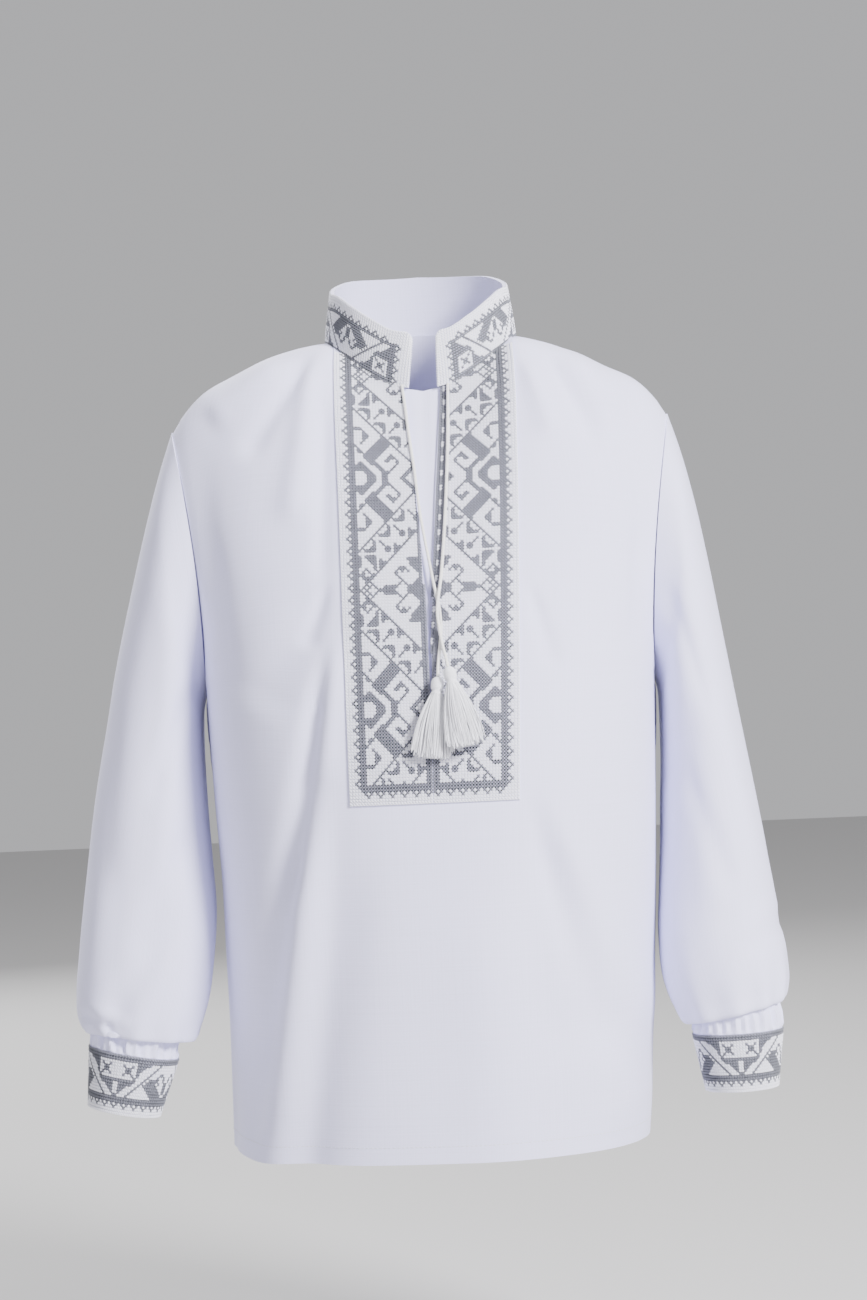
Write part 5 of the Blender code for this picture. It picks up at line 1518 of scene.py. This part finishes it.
def dress_tassel(name, side, ground, tools):
    """A head bound with thread, and a skirt of fine threads that hang from its foot."""
    size = TASSEL[side]
    spot, normal = ground.at(*size["head"])
    head = spot + normal * (LAY_GAP + BIB_WALL + size["off"])
    spot, foot_normal = ground.at(*size["foot"])
    foot = spot + foot_normal * (LAY_GAP + BIB_WALL + SKIRT_HALF_DEEP + size["foot_off"])
    down = unit(foot - head)
    wide = unit(np.cross(down, normal))
    wide = wide if wide[0] > 0 else -wide
    deep = np.cross(wide, down)
    turn = 2 * math.pi * np.arange(HEAD_SIDES) / HEAD_SIDES
    ring = np.outer(np.cos(turn), wide) + np.outer(np.sin(turn), deep)
    profile = table("t swell", *HEAD_PROFILE)
    rows = []
    for t in np.linspace(0, 1, HEAD_ROWS):
        swell = float(look_up(profile, "swell", t))
        swell += BINDING_SWELL * math.sin(t * 2 * math.pi * BINDING_TURNS)
        rows.append(head + down * HEAD_LENGTH * t + ring * HEAD_RADIUS * swell)
    grid = np.array(rows)
    faces = [tuple(reversed(q)) for q in grid_quads(*grid.shape[:2], closed=True)]
    last = (HEAD_ROWS - 1) * HEAD_SIDES
    faces += [tuple(range(HEAD_SIDES)), tuple(reversed(range(last, last + HEAD_SIDES)))]
    obj = add_mesh(f"{name}_head", grid.reshape(-1, 3), faces, tools["tassel"])
    rng = np.random.default_rng(11 + side)
    points, edges = [], []
    for _ in range(THREADS):
        radius, angle = math.sqrt(rng.random()), rng.random() * 2 * math.pi
        a, b = radius * math.cos(angle), radius * math.sin(angle)
        start = head + down * HEAD_LENGTH * THREAD_START
        start = start + (wide * a + deep * b) * HEAD_RADIUS * THREAD_START_SHARE
        longer = THREAD_UNEVEN * rng.standard_normal() - SKIRT_CURVE * a * a
        out = size["half"] * SKIRT_FULLER * (a + THREAD_ASTRAY * rng.standard_normal())
        end = foot + wide * out + deep * SKIRT_HALF_DEEP * b + down * min(longer, THREAD_LONGEST)
        bow = wide * a * THREAD_BOW_WIDE + deep * b * THREAD_BOW_DEEP
        bow = bow + wide * THREAD_WAVE * rng.standard_normal()
        first = len(points)
        for k in range(THREAD_STEPS + 1):
            t = k / THREAD_STEPS
            points.append(start + (end - start) * t + bow * math.sin(math.pi * t))
        edges += [(first + k, first + k + 1) for k in range(THREAD_STEPS)]
    mesh = bpy.data.meshes.new(f"{name}_skirt")
    mesh.from_pydata(np.array(points).tolist(), edges, [])
    skirt = bpy.data.objects.new(f"{name}_skirt", mesh)
    bpy.context.scene.collection.objects.link(skirt)
    add_modifier(
        skirt, tools["threads"], Radius=THREAD_RADIUS, Sides=THREAD_SIDES, Thread=tools["tassel"]
    )
    for piece in (obj, skirt):
        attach(piece, "root")
    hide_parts(name)
    return [obj, skirt]


def sew_hem(name, grid, tools):
    """A line of straight stitches that holds a panel's turned-up hem."""
    surface, row = Surface(grid), ROW_STEPS * HEM_LINE
    *_, length = surface.places(row, np.zeros(1))
    at, up, across, inside, _ = surface.places(row, np.arange(0.0, length, SEW_PITCH))
    spots = [(at[inside] + up[inside] * SEW_LIFT, up[inside], across[inside])]
    add_scatter(
        name, spots, tools["dash"], tools["sewing"], tools["scatter"], turn=0.02, spread=0.1, seed=9
    )


def add_light(name, place, size, power, tone):
    light = bpy.data.lights.new(name, "AREA")
    light.shape = "DISK"
    light.size = size
    light.energy = power
    light.color = tone
    obj = bpy.data.objects.new(name, light)
    obj.location = place
    obj.rotation_euler = (Vector(LIGHT_AIM) - Vector(place)).to_track_quat("-Z", "Y").to_euler()
    bpy.context.scene.collection.objects.link(obj)


def set_camera():
    camera = bpy.data.cameras.new("camera")
    camera.lens = CAMERA_LENS
    camera.sensor_width = CAMERA_SENSOR
    obj = bpy.data.objects.new("camera", camera)
    obj.location = CAMERA_PLACE
    obj.rotation_euler = (math.pi / 2, CAMERA_ROLL, 0)
    bpy.context.scene.collection.objects.link(obj)
    bpy.context.scene.camera = obj


def set_stage():
    floor_material = new_material("pale floor", FLOOR_COLOUR, 0.85)[0]
    left, right, near, far = -FLOOR_SIDE, FLOOR_SIDE, -FLOOR_SIDE, FLOOR_BACK
    points = [(x, y, FLOOR_Z) for x, y in ((left, near), (right, near), (right, far), (left, far))]
    add_mesh("floor", points, [(0, 1, 2, 3)], floor_material)
    world = bpy.data.worlds.new("studio")
    world.use_nodes = True
    background = world.node_tree.nodes["Background"]
    background.inputs["Color"].default_value = colour(STUDIO_COLOUR)
    background.inputs["Strength"].default_value = STUDIO_STRENGTH
    bpy.context.scene.world = world
    for light in LIGHTS:
        add_light(*light)


def main():
    set_camera()
    set_stage()
    tools = {
        # White shirting: reads as a crisp, thin, slightly see-through weave with a cool tint.
        "cloth": cloth_material("white plain-woven shirting", "#E1E0FF"),
        # Grey six-strand thread: reads as small matt squares with soft edges.
        "grey": thread_material("grey embroidery thread", "#6F717A", 0.6, 0.14),
        # White six-strand thread: reads as raised, softly shining grains.
        "white": thread_material("white embroidery thread", "#F5F5FE", 0.5, 0.04),
        # Needle holes: read as the dark points between the grey stitches.
        # Painted shade: near-black discs stand for the shade in each needle hole between grey stitches.
        "dark": new_material("painted shade at needle hole", "#060607", 1.0, Specular_IOR_Level=0.0)[0],
        # Needle holes between white stitches: read as faint pricks in the ground.
        # Painted shade: pale grey discs stand for the faint shade in each needle hole between white stitches.
        "pale": new_material("faint painted shade at needle hole in white", "#9194A6", 1.0, Specular_IOR_Level=0.0)[0],
        # Tassel thread: smoother than the cloth, so it reads as silky.
        "tassel": thread_material("silky white tassel thread", "#F2F2F8", 0.35, 0.05),
        # Sewing thread: barely raised, so a seam shows as a faint dotted line.
        "sewing": new_material("white sewing thread", "#DCDDE8", 0.6)[0],
        "scatter": scatter_tree(),
        "threads": strands_tree(),
        "cross": cross_mesh("cross stitch", PITCH_ACROSS, PITCH_DOWN, CROSS_THICK),
        # Discs of painted shade for the needle hole at each stitch corner, dark and pale.
        "dark hole": disc_mesh("dark needle hole", SHADE_DISC_RADIUS, SHADE_DISC_SIDES),
        "pale hole": disc_mesh("pale needle hole", PALE_SHADE_DISC_RADIUS, SHADE_DISC_SIDES),
        "dash": dash_mesh("straight stitch", SEW_LONG, SEW_THICK),
    }
    cord = cord_material("twisted off-white cord", "#EFEDEA")
    front, front_grid = dress_panel("front", -1, (FRONT_FOLDS, SMALL_FOLDS), BODY_ROWS_Z, True, tools)
    ground = Ground(front_grid)
    ties = {side: lay_cord(f"tie_{word}", side, ground, cord) for side, word in SIDES}
    back_rows_z = tuple(z for z in BODY_ROWS_Z if z != SLIT_FOOT_Z)
    back, back_grid = dress_panel("back", 1, (BACK_FOLDS,), back_rows_z, False, tools)
    sleeves = [dress_sleeve(f"sleeve_{word}", side, tools) for side, word in SIDES]
    cuffs = [dress_cuff(f"cuff_{word}", side, tools) for side, word in SIDES]
    bibs = [dress_bib(f"bib_{word}", side, ground, tools) for side, word in SIDES]
    collar = dress_collar(tools)
    guard = dress_guard(ground, tools)
    for side, word in SIDES:
        tassel = dress_tassel(f"tassel_{word}", side, ground, tools)
    sew_hem("front_hem_stitches", front_grid, tools)
    sew_hem("back_hem_stitches", back_grid, tools)
    button = new_material("glossy white shirt button", "#E4E4EA", 0.22, Coat_Weight=0.4)[0]
    for _, word in SIDES:
        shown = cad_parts[f"cuff_button_{word}"]
        for place in shown.material_slots:
            place.material = button
    for name in ("cross", "dark hole", "pale hole", "dash"):
        bpy.data.objects.remove(tools[name], do_unlink=True)


main()
